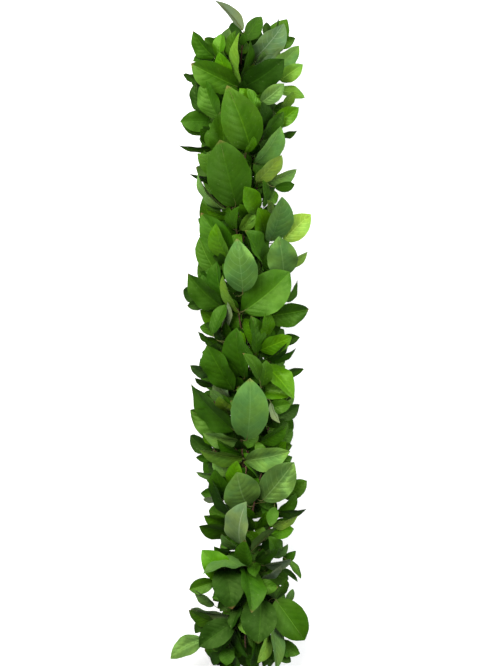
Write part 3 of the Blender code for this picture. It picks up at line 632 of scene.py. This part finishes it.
def fillGaps():
    spots = []
    for twig in twigs.values():
        steps = int(lengthOf(twig["line"]) / gapFilling["spotStep"])
        spots += [(pointOn(twig["line"], k * gapFilling["spotStep"])[0], twig) for k in range(1, steps)]
    draw = random.Random("gaps")
    found, filled = 0, 0
    for look in gapFilling["looks"]:
        look = Vector(look).normalized()
        for gap in gapPoints(look):
            if canopy["leaves"].ray_cast(gap, look)[0] or canopy["leaves"].ray_cast(gap, -look)[0]:
                continue
            found += 1
            filled += fillGap(draw, spots, gap, look)
    print("gaps:", found, "filled:", filled)


def fillInside():
    count = 0
    for twig, draw, sizes, tries, leastFilled in rounds("inner", innerLeaves["sizes"]):
        length = lengthOf(twig["line"])
        for number in range(tries):
            spot, way = pointOn(twig["line"], draw.uniform(innerLeaves["first"], length))
            side = way.orthogonal().normalized()
            leaf = innerLeaf(draw, spot, way, side, number * goldenTurn, innerLeaves["lean"], sizes)
            patch, hidden, filling = tried(leaf)
            if not patch or hidden > innerLeaves["mostHidden"] or filling < leastFilled:
                continue
            # of the leaves that fill no gap, only some are kept
            if filling < 1 and number % innerLeaves["keepEvery"]:
                continue
            keepLeaf(twig, leaf, patch)
            count += 1
    return count


covering = coverStems()
print("leaves over bare stems:", covering)
fillGaps()
print("inner leaves grown:", covering + fillInside())


def reckoned(operation, turned=False):
    def method(first, second):
        return calc(operation, second, first) if turned else calc(operation, first, second)

    return method


# A node's output that reckons with + - * / like a number or a vector, each by a Math node
class treeValue:
    def __init__(self, socket):
        self.socket = socket

    def __getitem__(self, label):
        return treeValue(self.socket.node.outputs[label])

    def __abs__(self):
        return calc("ABSOLUTE", self)

    __add__, __radd__ = reckoned("ADD"), reckoned("ADD", True)
    __sub__, __rsub__ = reckoned("SUBTRACT"), reckoned("SUBTRACT", True)
    __mul__, __rmul__ = reckoned("MULTIPLY"), reckoned("MULTIPLY", True)
    __truediv__, __pow__ = reckoned("DIVIDE"), reckoned("POWER")


def isVector(value):
    return isinstance(value, treeValue) and value.socket.type in ("VECTOR", "RGBA")


def feed(value, socket):
    if isinstance(value, treeValue):
        socket.id_data.links.new(value.socket, socket)
    else:
        socket.default_value = value


def feedAll(node, inputs):
    for label, value in inputs.items():
        feed(value, node.inputs[label])


def treeAround(values):
    return next(value.socket.id_data for value in values if isinstance(value, treeValue))


def newNode(kind, inputs, tree=None, **settings):
    # gives the node's first output, from which the others can be had by their labels
    node = (tree or treeAround(inputs.values())).nodes.new(kind)
    for label, value in settings.items():
        setattr(node, label, value)
    feedAll(node, inputs)
    return treeValue(node.outputs[0])


def calc(operation, *values):
    # a vector times a number is scaled
    if not isVector(values[0]):
        return newNode("ShaderNodeMath", dict(enumerate(values)), operation=operation)
    if operation == "MULTIPLY":
        return newNode("ShaderNodeVectorMath", {0: values[0], "Scale": values[1]}, operation="SCALE")
    return newNode("ShaderNodeVectorMath", dict(enumerate(values)), operation=operation)


def partsOf(value):
    split = newNode("ShaderNodeSeparateXYZ", {0: value})
    return split["X"], split["Y"], split["Z"]


def combined(x, y, z=0.0):
    return newNode("ShaderNodeCombineXYZ", {0: x, 1: y, 2: z})


def position(tree):
    return newNode("GeometryNodeInputPosition", {}, tree)


leafVectors = ("leafBase", "leafRun", "leafSide", "leafUp", "leafRoot", "leafBend", "stalkSide", "stalkUp")


def kindOf(name):
    # what an attribute of this name holds
    if name in leafVectors:
        return "FLOAT_VECTOR"
    if name.startswith("is"):
        return "BOOLEAN"
    return {"UVMap": "FLOAT2", "leafTint": "FLOAT_COLOR"}.get(name, "FLOAT")


def named(tree, name):
    return newNode("GeometryNodeInputNamedAttribute", {"Name": name}, tree, data_type=kindOf(name))


def stored(geometry, name, value, domain="POINT"):
    inputs = {"Geometry": geometry, "Name": name, "Value": value}
    return newNode("GeometryNodeStoreNamedAttribute", inputs, data_type=kindOf(name), domain=domain)


def placed(geometry, spot):
    return newNode("GeometryNodeSetPosition", {"Geometry": geometry, "Position": spot})


def painted(geometry, material, **selection):
    return newNode("GeometryNodeSetMaterial", {"Geometry": geometry, "Material": material, **selection})


def smoothed(geometry):
    return newNode("GeometryNodeSetShadeSmooth", {"Geometry": geometry})


def creased(tree, geometry, sharpAbove):
    bend = newNode("GeometryNodeInputMeshEdgeAngle", {}, tree)["Unsigned Angle"]
    sharp = calc("GREATER_THAN", bend, sharpAbove)
    inputs = {"Geometry": geometry, "Selection": sharp, "Shade Smooth": False}
    return newNode("GeometryNodeSetShadeSmooth", inputs, domain="EDGE")


def welded(geometry, distance):
    return newNode("GeometryNodeMergeByDistance", {"Geometry": geometry, "Distance": distance})


def joined(*parts):
    made = treeAround(parts).nodes.new("GeometryNodeJoinGeometry")
    for part in reversed(parts):
        feed(part, made.inputs["Geometry"])
    return treeValue(made.outputs["Geometry"])


def realised(geometry):
    return newNode("GeometryNodeRealizeInstances", {"Geometry": geometry})


def swept(curve, sides, radius, scale=1.0):
    # a round tube along the curve
    ring = newNode("GeometryNodeCurvePrimitiveCircle", {"Resolution": sides, "Radius": radius})
    inputs = {"Curve": curve, "Profile Curve": ring, "Fill Caps": True, "Scale": scale}
    return smoothed(newNode("GeometryNodeCurveToMesh", inputs))


def labelOf(key):
    return re.sub("([A-Z])", r" \1", key).title()


def newTree(name, settings):
    # a tree with a labelled input for each of the settings
    tree = bpy.data.node_groups.new(name, "GeometryNodeTree")
    tree.interface.new_socket(name="Geometry", in_out="INPUT", socket_type="NodeSocketGeometry")
    for key, value in settings.items():
        kind = {int: "Int", float: "Float"}.get(type(value), "Material")
        tree.interface.new_socket(name=labelOf(key), in_out="INPUT", socket_type="NodeSocket" + kind)
    tree.interface.new_socket(name="Geometry", in_out="OUTPUT", socket_type="NodeSocketGeometry")
    outputs = tree.nodes.new("NodeGroupInput").outputs
    given = {key: treeValue(outputs[labelOf(key)]) for key in ("geometry", *settings)}
    return tree, given, tree.nodes.new("NodeGroupOutput").inputs["Geometry"]


def applied(obj, tree, settings):
    # runs the tree on the object and keeps its result as a plain mesh
    values = {labelOf(key): value for key, value in settings.items()}
    modifier = obj.modifiers.new(tree.name, "NODES")
    modifier.node_group = tree
    for item in tree.interface.items_tree:
        if item.in_out == "INPUT" and item.name in values:
            modifier[item.identifier] = values[item.name]
    bpy.context.view_layer.update()
    graph = bpy.context.evaluated_depsgraph_get()
    mesh = bpy.data.meshes.new_from_object(obj.evaluated_get(graph))
    obj.modifiers.remove(modifier)
    old = obj.data
    obj.data = mesh
    bpy.data.meshes.remove(old)
    return obj


# Materials
def newMaterial(name, inputs):
    made = bpy.data.materials.new(name)
    made.use_nodes = True
    shader = made.node_tree.nodes["Principled BSDF"]
    feedAll(shader, inputs)
    return made, made.node_tree, shader


def ramp(value, low, high, fromValue=0.0, toValue=1.0):
    # a soft step
    inputs = {"Value": value, "From Min": low, "From Max": high, "To Min": fromValue, "To Max": toValue}
    return newNode("ShaderNodeMapRange", inputs, interpolation_type="SMOOTHSTEP")


def blend(factor, first, second, way="MIX"):
    made = treeAround([factor, first, second]).nodes.new("ShaderNodeMix")
    made.data_type = "RGBA"
    made.blend_type = way
    feed(factor, made.inputs["Factor"])
    colours = [socket for socket in made.inputs if socket.type == "RGBA"]
    for value, socket in zip((first, second), colours):
        feed(value if isinstance(value, treeValue) else (*value, 1), socket)
    return treeValue([socket for socket in made.outputs if socket.type == "RGBA"][0])


def ownPlace(tree):
    return newNode("ShaderNodeTexCoord", {}, tree)["Object"]


def noise(place, scale, detail=2.0):
    return newNode("ShaderNodeTexNoise", {"Scale": scale, "Detail": detail, "Vector": place})


def attribute(tree, name):
    return newNode("ShaderNodeAttribute", {}, tree, attribute_name=name)


def bumped(shader, height, strength, depth):
    inputs = {"Strength": strength, "Distance": depth, "Height": height}
    feed(newNode("ShaderNodeBump", inputs), shader.inputs["Normal"])


leafFinish = {
    "upper": {"specular": 0.42, "roughness": (0.30, 0.40), "tint": (0.48, 0.85, 0.18, 1)},
    "under": {"specular": 0.15, "roughness": (0.50, 0.60), "tint": (0.60, 0.85, 0.40, 1)},
    "matteRoughness": 0.25, "bumpStrength": 0.42, "bumpDepth": 0.5 * mm,
    # the last colour on the next line darkens a leaf's base: painted shade
    "warm": (1.10, 1.04, 0.85), "cool": (0.86, 0.94, 1.10), "atBase": (0.5, 0.55, 0.5),
    "vein": (2.1, 1.75, 2.6),
    # the first colour on the next line paints a greyish sheen, the second paints small glints
    "film": (0.062, 0.110, 0.022), "speck": (0.10, 0.14, 0.05), "dry": (0.10, 0.05, 0.02),
    "felt": (0.090, 0.145, 0.040), "feltShare": 0.45, "edgeShare": 0.18, "speckShare": 0.35,
    "scales": {"blotch": 45, "mottle": 190, "grain": 900, "film": 28, "speck": 420, "gloss": 110},
    "sideVeins": 7.0, "veinPower": 1.35, "veinArch": 0.30,
}


def veins(tree):
    # how near a point of the blade is to midrib, side veins and edge, from 0 to 1, and where it is
    u, t = partsOf(newNode("ShaderNodeUVMap", {}, tree, uv_map="UVMap"))[:2]
    side = abs((u - 0.5) * 2.0)
    midrib = ramp(side, 0.012, 0.055, 1.0, 0.0)
    # a side vein leaves the midrib, runs outwards and bends towards the tip
    phase = (t - side ** leafFinish["veinPower"] * leafFinish["veinArch"]) * leafFinish["sideVeins"]
    near = abs(calc("FRACT", phase) - 0.5)
    sideVein = ramp(near, 0.0, 0.06, 1.0, 0.0) * ramp(side, 0.55, 1.0, 1.0, 0.0)
    return midrib, sideVein, ramp(side, 0.9, 1.0), near, side, t


def leafMaterial(name, side):
    finish, scales = leafFinish[side], leafFinish["scales"]
    made, tree, shader = newMaterial(name, {
        "Specular IOR Level": finish["specular"], "Specular Tint": finish["tint"],
    })
    tint, seed = attribute(tree, "leafTint"), attribute(tree, "leafSeed")["Fac"]
    matte = attribute(tree, "leafMatte")["Fac"]
    midrib, sideVein, edge, near, across, t = veins(tree)
    place, other = ownPlace(tree), calc("FRACT", seed * 7.3)
    # the green turns yellower or bluer over a leaf, and painted shade darkens it towards its base, which
    # lies under other leaves
    warm, cool, atBase, vein = (
        blend(1.0, tint, leafFinish[key], "MULTIPLY") for key in ("warm", "cool", "atBase", "vein")
    )
    colour = blend(ramp(noise(place, scales["blotch"], 3), 0.32, 0.68), cool, warm)
    colour = blend(ramp(t, 0.0, 0.5, 0.5, 0.0), colour, atBase)
    # a thin greyish painted sheen over a part of some leaves
    film = ramp(noise(place, scales["film"]), 0.46, 0.62) * ramp(other, 0.35, 1.0, 0.0, 0.2) * (1.0 - matte)
    colour = blend(film, colour, leafFinish["film"])
    colour = colour * ramp(noise(place, scales["mottle"], 3), 0.3, 0.7, 0.93, 1.07)
    colour = blend(sideVein * ramp(calc("FRACT", seed * 13.7), 0.2, 1.0, 0.2, 0.75), colour, vein)
    colour = blend(midrib * ramp(seed, 0.1, 0.9, 0.25, 0.8), colour, vein)
    colour = blend(edge * leafFinish["edgeShare"], colour, vein)
    # small light specks: painted glints
    speck = ramp(noise(place, scales["speck"], 1), 0.70, 0.78)
    colour = blend(speck * leafFinish["speckShare"], colour, leafFinish["speck"])
    dry = ramp(t, 0.93, 0.99) * attribute(tree, "leafDry")["Fac"]
    colour = blend(dry, colour, leafFinish["dry"])
    if side == "under":
        colour = blend(leafFinish["feltShare"], colour, leafFinish["felt"])
    feed(colour, shader.inputs["Base Color"])
    rough = ramp(noise(place, scales["gloss"]), 0.3, 0.7, *finish["roughness"])
    feed(rough + matte * leafFinish["matteRoughness"], shader.inputs["Roughness"])
    # the blade is quilted between its side veins, less so near its margin
    quilt = ramp(near, 0.0, 0.4) * ramp(across, 0.4, 1.0, 0.8, 0.1) * ramp(other, 0.0, 1.0, 0.35, 1.15)
    height = quilt - midrib + noise(place, scales["grain"]) * 0.12
    bumped(shader, height, leafFinish["bumpStrength"], leafFinish["bumpDepth"])
    return made


def barkMaterial(name, light, dark, scale):
    made, tree, shader = newMaterial(name, {"Roughness": 0.62, "Specular IOR Level": 0.25})
    streak = noise(newNode("ShaderNodeMapping", {"Vector": ownPlace(tree), "Scale": (1, 0.2, 1)}), scale, 4)
    feed(blend(ramp(streak, 0.3, 0.7), dark, light), shader.inputs["Base Color"])
    bumped(shader, streak, 0.6, 0.3 * mm)
    return made


def wireMaterial(name, light, dark):
    made, tree, shader = newMaterial(name, {"Roughness": 0.38, "Metallic": 0.3})
    worn = ramp(noise(ownPlace(tree), 400, 3), 0.45, 0.75)
    feed(blend(worn, dark, light), shader.inputs["Base Color"])
    return made


leafSkin = {
    "upper": leafMaterial("leafUpper", "upper"),
    "under": leafMaterial("leafUnder", "under"),
    "stalk": barkMaterial("petiole", (0.075, 0.115, 0.018), (0.060, 0.034, 0.012), 700),
    "bark": barkMaterial("twigBark", (0.075, 0.032, 0.016), (0.025, 0.011, 0.006), 900),
}
juteTwine = barkMaterial("juteTwine", (0.42, 0.30, 0.15), (0.26, 0.17, 0.08), 1500)
greenWire = wireMaterial("greenWire", (0.05, 0.10, 0.04), (0.015, 0.06, 0.02))
print("materials made")


# Leafy twigs
foliage = {
    "acrossCuts": 7, "alongCuts": 21,  # vertices over a large blade
    "smallAcrossCuts": 5, "smallAlongCuts": 11,
    "thickness": 0.55 * mm, "ripple": 0.09, "cup": 0.5, "curl": 0.05,
    "petioleRadius": 0.75 * mm, "ribSides": 5, "ribCuts": 8,
    "twigRadius": 1.4 * mm, "twigSides": 8, "twigCuts": 34,
}
bladeBend = {"twist": 22, "sway": 0.035}  # the most a blade turns, in degrees, and bends sideways


def blade(tree, acrossCuts, alongCuts):
    # a unit blade: x from -1 to 1 across, y from 0 to 1 along, and two faces that meet at the margin
    sizes = {"Size X": 2, "Size Y": 1, "Vertices X": acrossCuts, "Vertices Y": alongCuts}
    grid = newNode("GeometryNodeMeshGrid", sizes)
    x, y = partsOf(position(tree))[:2]
    t = (1.0 - calc("COSINE", (y + 0.5) * math.pi)) * 0.5  # closer cuts near base and tip
    lift = (1.0 - x * x) * (4.0 * (t * (1.0 - t))) * 0.01
    upper = placed(grid, combined(x, t, lift))
    under = newNode("GeometryNodeFlipFaces", {"Mesh": placed(grid, combined(x, t, lift * -1.0))})
    shape = joined(stored(upper, "isUnder", False, "FACE"), stored(under, "isUnder", True, "FACE"))
    x, y, z = partsOf(position(tree))
    shape = stored(stored(welded(shape, 1e-5), "leafAcross", x), "leafAlong", y)
    return stored(shape, "leafLayer", z * 100.0)


def rib(tree, given):
    # a unit stalk: y from 0 to 1, first the petiole and then the midrib
    sizes = {"Vertices": given["ribSides"], "Side Segments": given["ribCuts"], "Radius": 1, "Depth": 1}
    x, y, z = partsOf(position(tree))
    shape = stored(stored(newNode("GeometryNodeMeshCylinder", sizes), "ribX", x), "ribY", y)
    lowest = newNode("GeometryNodeAttributeStatistic", {"Geometry": shape, "Attribute": z})["Min"]
    return stored(shape, "ribAlong", z - lowest)


def sown(points, shape):
    # one copy at each leaf, made real
    return realised(newNode("GeometryNodeInstanceOnPoints", {"Points": points, "Instance": shape}))


def centreAt(tree, t):
    # the blade's centre line at this share of its length
    bow = t * (1.0 - t) * 4.0 * named(tree, "leafArch")
    line = named(tree, "leafBase") + named(tree, "leafRun") * t
    line = line + named(tree, "leafSide") * (calc("SINE", t * math.pi) * named(tree, "leafSway"))
    return line + named(tree, "leafUp") * bow


# How a blade is finished. Of two numbers, the first is the CAD's, and a rounder leaf has more of the second
bladeShape = {
    "shift": (cadLeaf["shift"], 0.14), "fullness": (cadLeaf["fullness"], -0.22),
    "pointPower": (float(cadLeaf["pointPower"]), 10.0), "point": (cadLeaf["point"], 0.4),
    "unevenAlong": 31.0, "unevenAcross": 9.0, "uneven": 0.012,
    "waveAlong": 13.0, "waveAcross": 1.7, "waveSeed": 40.0, "twistMiddle": 0.3, "curlFrom": 0.55,
}


def bladeSpot(tree, given):
    # where each point of the unit blades goes
    c, t = named(tree, "leafAcross"), named(tree, "leafAlong")
    seed, rounded = named(tree, "leafSeed"), named(tree, "leafRound")
    pairs = [bladeShape[key] for key in ("shift", "fullness", "pointPower", "point")]
    shift, fullness, pointPower, point = (rounded * more + cad for cad, more in pairs)
    oval = calc("MAXIMUM", calc("SINE", t ** shift * math.pi), 0.0) ** fullness
    pointed = 1.0 - t ** pointPower * point
    uneven = calc("SINE", t * bladeShape["unevenAlong"] + (c + seed) * bladeShape["unevenAcross"])
    half = oval * pointed * (named(tree, "leafHalf") * (uneven * bladeShape["uneven"] + 1.0))
    side = abs(c)
    # each half of the blade is a little hollow, and one may stand up more than the other
    cup = given["cup"] * (1.0 - side)
    fold = named(tree, "leafFold") + named(tree, "leafSkew") * calc("SIGN", c)
    rise = fold * half * side * (1.0 + cup)
    rise = rise + named(tree, "leafTwist") * (t - bladeShape["twistMiddle"]) * (c * half)
    # its margin waves, and its end curls down
    wave = t * bladeShape["waveAlong"] + (c * bladeShape["waveAcross"] + seed * bladeShape["waveSeed"])
    wave = calc("SINE", wave) * given["ripple"] * (side * side * half)
    curl = calc("MAXIMUM", t - bladeShape["curlFrom"], 0.0) ** 2.0
    curl = curl * (named(tree, "leafCurl") * given["curl"])
    body = named(tree, "leafLayer") * (given["thickness"] * 0.5)
    height = rise + wave * named(tree, "leafLoose") + body - curl
    spot = centreAt(tree, t) + named(tree, "leafSide") * (c * half) + named(tree, "leafUp") * height
    # nothing goes below the table
    x, y, z = partsOf(spot)
    return combined(x, y, calc("MAXIMUM", z, given["thickness"] * 0.5 + body))


def stalkSpot(tree, given):
    # petioles that run on as midribs under the blades
    along = named(tree, "ribAlong")
    share = calc("MINIMUM", along * 3.0, 1.0)
    back = 1.0 - share
    onBlade = calc("MAXIMUM", along - 1 / 3, 0.0) * 1.38
    line = centreAt(tree, onBlade) + named(tree, "leafRoot") * (back * back)
    line = line + named(tree, "leafBend") * (back * share * 2.0)
    line = line + named(tree, "leafUp") * (share * share * (-0.35 * mm))
    thin = (1.0 - onBlade ** 0.6 * 0.88) * given["petioleRadius"] * named(tree, "leafScale")
    for stalkAxis, leafAxis, ribPlace in (("stalkSide", "leafSide", "ribX"), ("stalkUp", "leafUp", "ribY")):
        axis = calc("NORMALIZE", named(tree, stalkAxis) * back + named(tree, leafAxis) * share)
        line = line + axis * (named(tree, ribPlace) * thin)
    return line


def stemTube(tree, given, stem):
    # the woody stem, thinner towards its tip, with knots
    curve = newNode("GeometryNodeMeshToCurve", {"Mesh": stem})
    curve = newNode("GeometryNodeCurveSplineType", {"Curve": curve}, spline_type="CATMULL_ROM")
    curve = newNode("GeometryNodeResampleCurve", {"Curve": curve, "Count": given["twigCuts"]})
    factor = newNode("GeometryNodeSplineParameter", {}, tree)["Factor"]
    knot = abs(calc("SINE", factor * 34.0)) ** 8.0
    taper = (1.0 - factor * 0.3) * (knot * 0.08 + 0.92)
    return swept(curve, given["twigSides"], given["twigRadius"], taper)


def foliageTree(settings):
    tree, given, result = newTree("leafyTwig", settings)
    separate = "GeometryNodeSeparateGeometry"
    parts = newNode(separate, {"Geometry": given["geometry"], "Selection": named(tree, "isLeaf")})
    leafPoints, stem = parts["Selection"], parts["Inverted"]
    bySize = newNode(separate, {"Geometry": leafPoints, "Selection": named(tree, "isLarge")})
    large = sown(bySize["Selection"], blade(tree, given["acrossCuts"], given["alongCuts"]))
    small = sown(bySize["Inverted"], blade(tree, given["smallAcrossCuts"], given["smallAlongCuts"]))
    blades = welded(placed(joined(large, small), bladeSpot(tree, given)), 0.002 * mm)
    uv = combined(named(tree, "leafAcross") * 0.5 + 0.5, named(tree, "leafAlong"))
    blades = smoothed(stored(blades, "UVMap", uv, "CORNER"))
    blades = creased(tree, blades, math.radians(100))  # the two faces meet in a crisp margin
    stalks = smoothed(placed(sown(leafPoints, rib(tree, given)), stalkSpot(tree, given)))
    stalks = stored(stalks, "isStalk", True, "FACE")
    stems = stored(stemTube(tree, given, stem), "isBark", True, "FACE")
    finished = painted(realised(joined(blades, stalks, stems)), given["upper"])
    for key in ("under", "stalk", "bark"):
        finished = painted(finished, given[key], Selection=named(tree, "is" + key.title()))
    feed(finished, result)
    return tree


def linePiece(name, points, before=()):
    # an object of loose points, where there are any, and then a line
    mesh = bpy.data.meshes.new(name)
    start, last = len(before), len(before) + len(points) - 1
    mesh.from_pydata([*before, *points], [(i, i + 1) for i in range(start, last)], [])
    made = bpy.data.objects.new(name, mesh)
    bpy.context.scene.collection.objects.link(made)
    return made


def finishOf(leaf, draw):
    # all that the tree and the materials read of one leaf
    run = leaf["tip"] - leaf["base"]
    along = run.normalized()
    normal = perpendicular(along, leaf["normal"])
    side = along.cross(normal)
    root = leaf["root"] - leaf["base"]
    stalk = (-root).normalized()
    stalkSide = perpendicular(stalk, side)
    flat = leaf["flat"]
    loose = 0.0 if flat else 1.0
    made = {
        "leafBase": leaf["base"] + (up * (cadLeaf["thickness"] / 2) if flat else Vector()),
        "leafRun": run, "leafSide": side, "leafUp": normal, "leafRoot": root,
        "leafBend": -along * root.length * 0.45, "stalkSide": stalkSide, "stalkUp": stalkSide.cross(stalk),
        "leafHalf": leaf["width"] / 2, "leafFold": loose * (leaf["fold"] * 1.35 + 0.06),
        "leafArch": leaf["arch"] * run.length, "leafScale": min(max(run.length / (60 * mm), 0.65), 1.1),
        "leafMatte": tones["matte"].get(leaf["tone"], tones["otherMatte"]),
        "isLeaf": True, "isLarge": leaf["large"],
        "leafSeed": draw.random(), "leafLoose": 0.0 if flat else draw.uniform(0.3, 1.5),
        "leafRound": roundnessOf(leaf, draw), "leafCurl": 0.0 if flat else run.length * draw.uniform(-1, 4),
        "leafDry": max(draw.uniform(-3, 1), 0.0),
        "leafTwist": loose * math.radians(draw.uniform(-1, 1) * bladeBend["twist"]),
        "leafSway": loose * bladeBend["sway"] * draw.uniform(-1, 1) * run.length,
        "leafSkew": loose * draw.uniform(-0.2, 0.2),
    }
    if endsAmong(leaf, dryTips):
        made["leafDry"] = 1.0
    shade, warm = draw.uniform(0.86, 1.16), draw.uniform(-0.045, 0.045)
    red, green, blue = (part * shade for part in tones["colours"][leaf["tone"]])
    made["leafTint"] = (red * (1 + 2 * warm), green, blue, 1.0)
    return made


def addLayer(mesh, name, values):
    # an attribute with one value for each leaf, and a blank for each point of the stem
    kind = kindOf(name)
    fields = {"FLOAT_VECTOR": ("vector", (0, 0, 0)), "FLOAT_COLOR": ("color", (0, 0, 0, 1))}
    field, blank = fields.get(kind, ("value", 0))
    rows = values + [blank] * (len(mesh.vertices) - len(values))
    if field != "value":
        rows = [part for row in rows for part in row]
    mesh.attributes.new(name, kind, "POINT").data.foreach_set(field, rows)


def twigPiece(name, twig):
    draw = random.Random("finish " + name)
    piece = linePiece(name + "Foliage", twig["line"], [leaf["base"] for leaf in twig["leaves"]])
    finishes = [finishOf(leaf, draw) for leaf in twig["leaves"]]
    for key in finishes[0]:
        addLayer(piece.data, key, [finish[key] for finish in finishes])
    return applied(piece, leafyTwig, {**foliage, **leafSkin})


leafyTwig = foliageTree({**foliage, **leafSkin})
triangles = 0
for name, twig in twigs.items():
    piece = twigPiece(name, twig)
    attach(piece, "root")
    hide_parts(name)
    triangles += sum(len(face.vertices) - 2 for face in piece.data.polygons)
print("leafy twigs made:", len(twigs), "with", triangles, "triangles")


# The twine of three strands, and the wire
twine = {
    "turnRadius": 1.2 * mm, "lay": 17 * mm, "strandRadius": 1.15 * mm, "strands": 3, "cuts": 560, "sides": 8,
    "material": juteTwine,
}
twineSpans = 60
wireSettings = {
    "turnRadius": 0.0, "lay": 1.0, "strandRadius": 0.5 * mm, "strands": 1, "sides": 8, "material": greenWire,
}
wirePoints = 20  # to a turn


def cordTree(settings):
    tree, given, result = newTree("laidStrands", settings)
    curve = newNode("GeometryNodeMeshToCurve", {"Mesh": given["geometry"]})
    curve = newNode("GeometryNodeResampleCurve", {"Curve": curve, "Count": given["cuts"]})
    inputs = {"Geometry": curve, "Amount": given["strands"]}
    copies = newNode("GeometryNodeDuplicateElements", inputs, domain="SPLINE")
    walked = newNode("GeometryNodeSplineParameter", {}, tree)["Length"]
    turn = walked * (2 * math.pi) / given["lay"]
    turn = turn + copies["Duplicate Index"] * (2 * math.pi) / given["strands"]
    across, above = calc("COSINE", turn) * given["turnRadius"], calc("SINE", turn) * given["turnRadius"]
    strands = placed(copies, position(tree) + combined(across, 0.0, above))
    cord = realised(swept(strands, given["sides"], given["strandRadius"]))
    feed(painted(cord, given["material"]), result)
    return tree


cord = cordTree(twine)
twineRun = binding["twineTo"] - binding["twineFrom"]
twineYs = [binding["twineFrom"] + twineRun * i / twineSpans for i in range(twineSpans + 1)]
twineLine = [Vector((axisX(y), y, binding["axisHeight"])) + shift for y in twineYs]
core = applied(linePiece("coreTwine", twineLine), cord, twine)
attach(core, "root")
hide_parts("core_twine")

turns = (binding["wireTo"] - binding["wireFrom"]) / binding["wirePitch"]
wireSettings["cuts"] = round(turns * wirePoints) + 1
wireLine = []
for i in range(wireSettings["cuts"]):
    share = i / wirePoints
    y = binding["wireFrom"] + binding["wirePitch"] * share
    wireLine.append(fromAxis(y, binding["wireTurn"], 2 * math.pi * share) + shift)
wire = applied(linePiece("bindingWire", wireLine), cord, wireSettings)
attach(wire, "root")
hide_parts("binding_wire")
print("twine and wire made")


# Floor, light and camera
stage = {
    "floorHalf": 14.0, "below": -0.2 * mm, "white": (0.6, 0.6, 0.6, 1),
    "glow": 0.5,  # the table gives off some light of its own, so that it is white all over
    "world": 0.07, "worldColour": (0.95, 0.98, 1.0, 1),
    "softboxes": (  # name, place, size, power and colour
        ("keyLight", (-1.2, 1.4, 2.1), (2.4, 2.4), 224.0, (1.0, 0.99, 0.97)),
        ("fillLight", (2.0, 0.9, 1.5), (2.2, 2.2), 110.0, (0.97, 0.99, 1.0)),
        ("lowLight", (-0.4, -2.4, 1.7), (1.8, 1.0), 6.0, (1.0, 1.0, 1.0)),
    ),
    "cameraHeight": 7.5, "viewLevel": 55 * mm, "sensor": 36,  # the height is above the view level
}

edge = stage["floorHalf"]
floorMesh = bpy.data.meshes.new("table")
corners = [(-edge, -edge, 0), (edge, -edge, 0), (edge, edge, 0), (-edge, edge, 0)]
floorMesh.from_pydata(corners, [], [(0, 1, 2, 3)])
floorMesh.materials.append(newMaterial("paleTable", {
    "Base Color": stage["white"], "Roughness": 0.9,
    "Emission Color": (1, 1, 1, 1), "Emission Strength": stage["glow"],
})[0])
floor = bpy.data.objects.new("table", floorMesh)
floor.location.z = stage["below"]
floor.visible_glossy = False  # the white table isn't mirrored in the steep leaves
bpy.context.scene.collection.objects.link(floor)

world = bpy.data.worlds.new("studio")
world.use_nodes = True
feedAll(world.node_tree.nodes["Background"], {"Color": stage["worldColour"], "Strength": stage["world"]})
bpy.context.scene.world = world

for name, place, size, power, colour in stage["softboxes"]:
    light = bpy.data.lights.new(name, "AREA")
    light.shape = "RECTANGLE"
    light.size, light.size_y = size
    light.energy = power
    light.color = colour
    softbox = bpy.data.objects.new(name, light)
    softbox.location = place
    softbox.rotation_euler = (Vector(place) * -1).to_track_quat("-Z", "Y").to_euler()
    bpy.context.scene.collection.objects.link(softbox)

camera = bpy.data.objects.new("camera", bpy.data.cameras.new("camera"))
bpy.context.scene.collection.objects.link(camera)
middle = (photo["wide"] / 2 - photo["middleU"]) * photo["pixel"]
camera.location = (middle + shift.x, shift.y, stage["viewLevel"] + stage["cameraHeight"])
camera.data.sensor_width = stage["sensor"]
camera.data.lens = stage["sensor"] * stage["cameraHeight"] / (photo["high"] * photo["pixel"])
camera.data.clip_end = 60
bpy.context.scene.camera = camera
bpy.context.scene.view_settings.view_transform = "Standard"
print("stage set")
